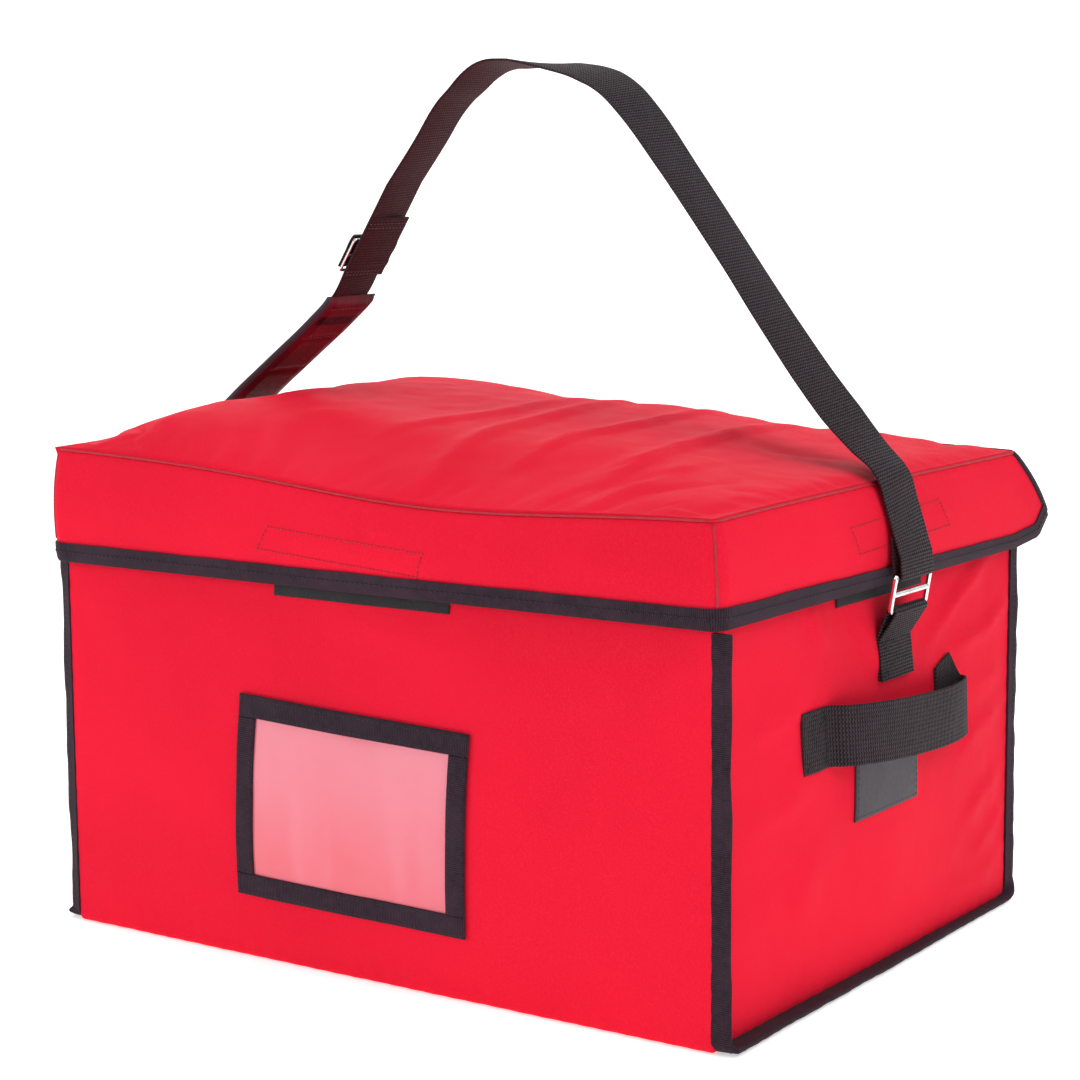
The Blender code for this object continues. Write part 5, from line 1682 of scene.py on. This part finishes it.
class BAG_OT_lid_cushion(bpy.types.Operator):
    """Makes the lid's puffy top, shaped by air pressure"""

    bl_idname = "bag.lid_cushion"
    bl_label = "Lid cushion"

    def execute(self, context):
        columns, rows = 120, 92
        inset = 0.0006
        a = np.linspace(-1, 1, columns)
        b = np.linspace(-1, 1, rows)
        ease = 0.12
        a = a * (1 - ease) + ease * np.sin(a * math.pi / 2)
        b = b * (1 - ease) + ease * np.sin(b * math.pi / 2)
        x = a * (LID_HALF_WIDTH - inset)
        y = between(LID_FRONT + inset, HALF_DEPTH - inset, (b + 1) / 2)
        x, y = np.meshgrid(x, y)
        top = stack(x, y, lid_height(x, y))
        rim_low = 0.2745
        rim_fall = 0.0032
        drawn = 0.0035
        scale_x = (LID_HALF_WIDTH - drawn - inset) / (LID_HALF_WIDTH - inset)
        middle = (LID_FRONT + HALF_DEPTH) / 2
        low = stack(x * scale_x, middle + (y - middle) * scale_x, 0 * x + rim_low)
        low[..., 2] = np.minimum(low[..., 2], seam_z(x, y) - rim_fall)
        cloth = stack(x, y, 0.0)
        obj = two_skins("lid_cushion", top, low, cloth)
        edge = np.zeros((rows, columns), bool)
        edge[:2] = edge[-2:] = True
        edge[:, :2] = edge[:, -2:] = True
        pinned = np.concatenate([edge.ravel(), np.ones(rows * columns, bool)])
        inflate(obj, pinned, sizes().lid_pressure, sizes().lid_rise)
        dress(obj, coated_fabric(), "coated_fabric", "lid", "lid_cover", "lid_foam")
        return {"FINISHED"}


class BAG_OT_lid_skirts(bpy.types.Operator):
    """Makes the skirts round three sides of the lid, with their corner seams and stitched boxes"""

    bl_idname = "bag.lid_skirts"
    bl_label = "Lid skirts"

    def execute(self, context):
        stations = skirt_stations()
        shares = np.concatenate([(0.0, 0.03), np.linspace(0.07, 0.93, 26), (0.965, 0.99, 1.0)])
        outer = skirt_points(stations, shares, 0.0)
        inner = skirt_points(stations, shares, -FABRIC)
        run = along_path(outer[0])
        cloth = stack(run[None, :], shares[:, None] * SKIRT_CLOTH, 0.0)
        obj = two_skins("lid_skirt", outer, inner, cloth)
        dress(obj, coated_fabric(), "coated_fabric", "lid", "lid_skirt_front", "lid_skirt_right",
              "lid_skirt_left")
        seam_rows = []
        count_left, count_front = len(stations[0]), len(stations[1])
        shares_up = np.linspace(0.19, 0.985, 24)
        lines = skirt_points(stations, shares_up, -0.0001)
        for column in (count_left - 3, count_left + count_front + 2):
            seam_rows.append(lines[:, column])
        top_line = skirt_points(stations, (1.0,), -0.0002)[0]
        top_line[:, 2] += 0.0008
        seam_rows.append(top_line)
        tube("lid_seam_thread", seam_rows, 0.0008, cloth_thread(), "coated_fabric", "lid")
        self.boxes(stations)
        return {"FINISHED"}

    def boxes(self, stations):
        """Stitched rectangles over the hook strips."""
        rows = []
        for corners, side in ((FRONT_BOX, 0), (SIDE_BOX, 1), (SIDE_BOX, -1)):
            ring = list(corners) + [corners[0]]
            for (a0, z0), (a1, z1) in zip(ring, ring[1:]):
                count = 24 if abs(a1 - a0) > 0.03 else 5
                rows.append(np.array([skirt_spot(side, between(a0, a1, t), between(z0, z1, t), 0.0002)
                                      for t in np.linspace(0, 1, count)]))
        stitches("skirt_box_stitches", rows, cloth_thread(), "coated_fabric", "lid", pitch=0.0026,
                 length=0.0023, width=0.0008)


def skirt_spot(side, a, z, off):
    """The skirt's point at that height: a is x on the front skirt, y on a side one."""
    if side == 0:
        group = (np.zeros((0, 5)), np.array([(0.0, -1.0, a, 0.0, 0.0)]), np.zeros((0, 5)))
    else:
        length = SKIRT_BACK_END - LID_FRONT
        share = (a - LID_FRONT) / length
        for _ in range(3):
            row = np.array([(float(side), 0.0, share, 0.0, 0.0)])
            empty = np.zeros((0, 5))
            group = (row if side < 0 else empty, empty, row if side > 0 else empty)
            share += (a - skirt_height(group, z, off)[1]) / length
    return skirt_height(group, z, off)


def skirt_height(station, z, off):
    """The skirt's point at that height on one station."""
    low, high = skirt_points(station, (0.0, 1.0), off)[:, 0]
    up = (z - low[2]) / (high[2] - low[2])
    return skirt_points(station, (up,), off)[0, 0]


def tube(name, lines, radius, material, slot, body):
    """Round threads laid along lines, as one mesh."""
    points, faces, cloth = [], [], []
    sides = 6
    for line in lines:
        line = np.asarray(line)
        ways = np.gradient(line, axis=0)
        start = len(points)
        for i, (point, way) in enumerate(zip(line, ways)):
            way = Vector(way).normalized()
            up = Vector((0, 0, 1)) if abs(way.z) < 0.8 else Vector((1, 0, 0))
            first = way.cross(up).normalized()
            second = way.cross(first)
            for k in range(sides):
                angle = 2 * math.pi * k / sides
                out = first * math.cos(angle) + second * math.sin(angle)
                points.append(tuple(Vector(point) + out * radius))
                cloth.append((i * radius, k * radius, 0.0))
        count = len(line)
        faces += quads(count, sides, True, start)
        faces += [tuple(start + k for k in reversed(range(sides))),
                  tuple(start + (count - 1) * sides + k for k in range(sides))]
    obj = mesh_object(name, points, faces, cloth)
    return dress(obj, material, slot, body)


class BAG_OT_lid_bindings(bpy.types.Operator):
    """Makes the tape folded over the skirts' lower edge, the thin tapes of the free ends and the back tape"""

    bl_idname = "bag.lid_bindings"
    bl_label = "Lid bindings"

    def execute(self, context):
        stations = skirt_stations()
        low = skirt_points(stations, (0.0,), 0.0)[0]
        high = skirt_points(stations, (1.0,), 0.0)[0]
        tall = np.linalg.norm(high - low, axis=1)
        run = along_path(low)
        wobble = 0.0005 * ripple(run, 0.0, 0.03, 81)
        rings = []
        for off, rise, drop in LID_TAPE_SECTION:
            row = skirt_row(stations, (BINDING + wobble) * rise / tall, off)
            row[:, 2] += drop
            rings.append(row)
        rings = np.stack(rings, axis=1)
        widths = np.array([rise * BINDING for _, rise, _ in LID_TAPE_SECTION])
        cloth = stack(run[:, None], widths[None, :], 0.0)
        obj = loft("lid_edge_tape", rings, cloth, sharp=55)
        dress(obj, binding_tape(), "binding_tape", "lid", "lid_edge_binding")
        seat = skirt_row(stations, BINDING * 0.5 / tall, 0.0017)
        stitches("lid_edge_stitches", [seat], tape_thread(), "binding_tape", "lid")
        self.ends(stations)
        self.back()
        return {"FINISHED"}

    def ends(self, stations):
        """Thin tape up each free back end of the skirts."""
        last = sum(len(group) for group in stations) - 1
        for word, index in (("left", 0), ("right", last)):
            shares = np.linspace(0.10, 1.0, 16)
            line = skirt_points(pick(stations, index), shares, -FABRIC / 2)[:, 0]
            line = line + np.array((0.0, 0.0006, 0.0))
            across = level_ways(line)
            way = np.gradient(line, axis=0)
            across = across - way * (np.sum(across * way, axis=1) / np.sum(way * way, axis=1))[:, None]
            obj = band(f"skirt_end_tape_{word}", line, across, END_TAPE_WIDTH, END_TAPE_THICK, binding_tape(),
                       0.0015)
            dress(obj, binding_tape(), "binding_tape", "lid")

    def back(self):
        """Flat tape along the lid's back edge."""
        def place(a, b, off):
            x = a - HALF_WIDTH
            low = HINGE_Z + CLEAR
            high = seam_z(x, HALF_DEPTH) + 0.0004
            return stack(x, HALF_DEPTH + CLEAR + off, between(low, high, b))

        def spread(a, b, off):
            return place(a, b / BACK_TAPE_HEIGHT, off)

        obj = plaque("lid_back_tape", spread, BODY_WIDTH, BACK_TAPE_HEIGHT, 0.0, TAPE + 0.0002, (70, 4),
                     0.0008)
        dress(obj, binding_tape(), "binding_tape", "lid", "lid_back_binding")


def skirt_row(stations, share, off):
    """The skirts' points at a share up of their own for each station, moved out by off."""
    return np.array([skirt_points(pick(stations, i), (float(up),), off)[0, 0] for i, up in enumerate(share)])


def pick(stations, index):
    """One station, in its group."""
    groups = []
    for group in stations:
        groups.append(group[index:index + 1] if 0 <= index < len(group) else np.zeros((0, 5)))
        index -= len(group)
    return tuple(groups)


class BAG_OT_hinge(bpy.types.Operator):
    """Makes the fabric that hangs the lid on the back wall"""

    bl_idname = "bag.hinge"
    bl_label = "Hinge fabric"

    def execute(self, context):
        near = HALF_DEPTH + 2 * CLEAR + TAPE

        def place(a, b, off):
            x = a - HINGE_STRIP_WIDTH / 2
            z = HINGE_STRIP_LOW + b
            return stack(x, near + off + 0.0002 * ripple(a, b, 0.02, 91), z)

        obj = plaque("hinge_fabric", place, HINGE_STRIP_WIDTH, HINGE_Z - CLEAR - HINGE_STRIP_LOW, 0.0, TAPE,
                     (80, 6), 0.0006)
        dress(obj, coated_fabric(), "coated_fabric", "bag", "hinge_strip")
        rows = [np.array([(x, near + TAPE + TAPE_PUFF, z) for x in np.linspace(-0.21, 0.21, 100)])
                for z in (HINGE_STRIP_LOW + 0.003, HINGE_STRIP_LOW + 0.006)]
        stitches("hinge_stitches", rows, cloth_thread(), "coated_fabric", "bag")
        return {"FINISHED"}


class BAG_OT_lining(bpy.types.Operator):
    """Finishes the solids that stay: lining, rim, foam and base board"""

    bl_idname = "bag.lining"
    bl_label = "Lining and boards"

    def execute(self, context):
        white = plain_grain("foam_finish", (0.62, 0.62, 0.60), (0.86, 0.86, 0.84), 500.0, 0.88, 0.0003)
        brown = plain_grain("board_finish", (0.24, 0.15, 0.08), (0.46, 0.33, 0.20), 180.0, 0.8, 0.0002)
        for node in ("foam_bottom", "foam_front", "foam_back", "foam_right", "foam_left"):
            paint(node, white)
        paint("base_board", brown)
        paint("rim_binding", rim_tape())
        for node in ("liner", "lid_liner"):
            paint(node, foil())
        return {"FINISHED"}


def rim_tape():
    """Rim tape, grained by its place because its solid has no cloth coordinates."""
    return plain_grain("rim_tape_finish", (0.022, 0.016, 0.024), (0.070, 0.050, 0.070), 420.0, 0.75, 0.0003)


class BAG_OT_studio(bpy.types.Operator):
    """Makes the floor, the soft lights and the camera"""

    bl_idname = "bag.studio"
    bl_label = "Studio"

    def execute(self, context):
        scene = context.scene
        profile = [(-6.0, -0.0005), (1.2, -0.0005)]
        profile += [(2.4 + x, 1.2 + z) for x, z in arc((0, 0), 1.2, -90, 0, 9)]
        profile.append((3.6, 5.0))
        turn = math.radians(CAMERA_TURN)
        cosine, sine = math.cos(turn), math.sin(turn)
        rows = [[(side * cosine - away * sine, side * sine + away * cosine, z) for away, z in profile]
                for side in (-6.0, 6.0)]
        floor = mesh_object("studio_floor", np.array(rows), quads(2, len(profile), False, 0, True))

        def make(nodes):
            white = tuple(colours().floor)
            grain = nodes.noise(object_place(nodes), 3.0, 2.0)
            tone = nodes.mix(grain.ramp(0.3, 0.7), shade(white, 0.99), white)
            return {"Base Color": tone}

        floor.data.materials.append(finish("studio_floor_finish", make, Roughness=0.7, Specular_IOR_Level=0.1,
                                           Emission_Color=(1.0, 1.0, 1.0, 1.0), Emission_Strength=0.50))
        # Name, place, what it points at, size in metres and power in watts
        lights = (
            ("over", (0.0, 0.2, 2.6), (0.0, 0.0, 0.2), 2.4, 19.0),
            ("front_left", (-2.0, -2.2, 1.3), (0.0, 0.0, 0.15), 1.2, 21.0),
            ("right", (1.9, -0.4, 2.0), (0.0, 0.0, 0.15), 1.2, 18.0),
        )
        for name, place, target, size, power in lights:
            lamp = bpy.data.lights.new(name, "AREA")
            lamp.shape = "SQUARE"
            lamp.size = size
            lamp.energy = power
            holder = bpy.data.objects.new(name, lamp)
            holder.location = place
            holder.rotation_euler = (Vector(target) - Vector(place)).to_track_quat("-Z", "Y").to_euler()
            scene.collection.objects.link(holder)
        world = scene.world or bpy.data.worlds.new("studio")
        scene.world = world
        world.use_nodes = True
        sky = world.node_tree.nodes["Background"]
        sky.inputs["Color"].default_value = (1.0, 1.0, 1.0, 1.0)
        sky.inputs["Strength"].default_value = 0.48
        scene.view_settings.view_transform = "Standard"
        self.camera(scene)
        return {"FINISHED"}

    def camera(self, scene):
        lens = bpy.data.cameras.new("camera")
        lens.sensor_width = 36.0
        lens.lens = CAMERA_LENS
        holder = bpy.data.objects.new("camera", lens)
        scene.collection.objects.link(holder)
        turn, pitch, roll = (math.radians(value) for value in (CAMERA_TURN, CAMERA_PITCH, CAMERA_ROLL))
        level = math.cos(pitch)
        ahead = Vector((-math.sin(turn) * level, math.cos(turn) * level, -math.sin(pitch)))
        right = Vector((math.cos(turn), math.sin(turn), 0.0))
        up = right.cross(ahead)
        right_rolled = right * math.cos(roll) + up * math.sin(roll)
        up_rolled = up * math.cos(roll) - right * math.sin(roll)
        basis = Matrix((right_rolled, up_rolled, -ahead)).transposed()
        holder.matrix_world = Matrix.Translation(CAMERA_PLACE) @ basis.to_4x4()
        scene.camera = holder


OPERATORS = (
    BAG_OT_body, BAG_OT_side_bindings, BAG_OT_window, BAG_OT_fasteners, BAG_OT_label, BAG_OT_handles,
    BAG_OT_anchor_tabs, BAG_OT_strap, BAG_OT_shoulder_pad, BAG_OT_adjuster, BAG_OT_lid_cushion,
    BAG_OT_lid_skirts, BAG_OT_lid_bindings, BAG_OT_hinge, BAG_OT_lining, BAG_OT_studio,
)


class BAG_PT_panel(bpy.types.Panel):
    """Lists the bag's sizes, colours and pieces"""

    bl_label = "Delivery bag"
    bl_idname = "BAG_PT_panel"
    bl_space_type = "VIEW_3D"
    bl_region_type = "UI"
    bl_category = "Delivery bag"

    def draw(self, context):
        for group in (context.scene.bag_sizes, context.scene.bag_colours):
            box = self.layout.box()
            for name in group.__annotations__:
                box.prop(group, name)
        for operator in OPERATORS:
            self.layout.operator(operator.bl_idname)


CLASSES = (BagSizes, BagColours, *OPERATORS, BAG_PT_panel)


def register():
    for made in CLASSES:
        bpy.utils.register_class(made)
    bpy.types.Scene.bag_sizes = bpy.props.PointerProperty(type=BagSizes)
    bpy.types.Scene.bag_colours = bpy.props.PointerProperty(type=BagColours)


def unregister():
    del bpy.types.Scene.bag_sizes
    del bpy.types.Scene.bag_colours
    for made in reversed(CLASSES):
        bpy.utils.unregister_class(made)


def main():
    register()
    for operator in OPERATORS:
        group, name = operator.bl_idname.split(".")
        getattr(getattr(bpy.ops, group), name)()


if __name__ == "__main__":
    main()
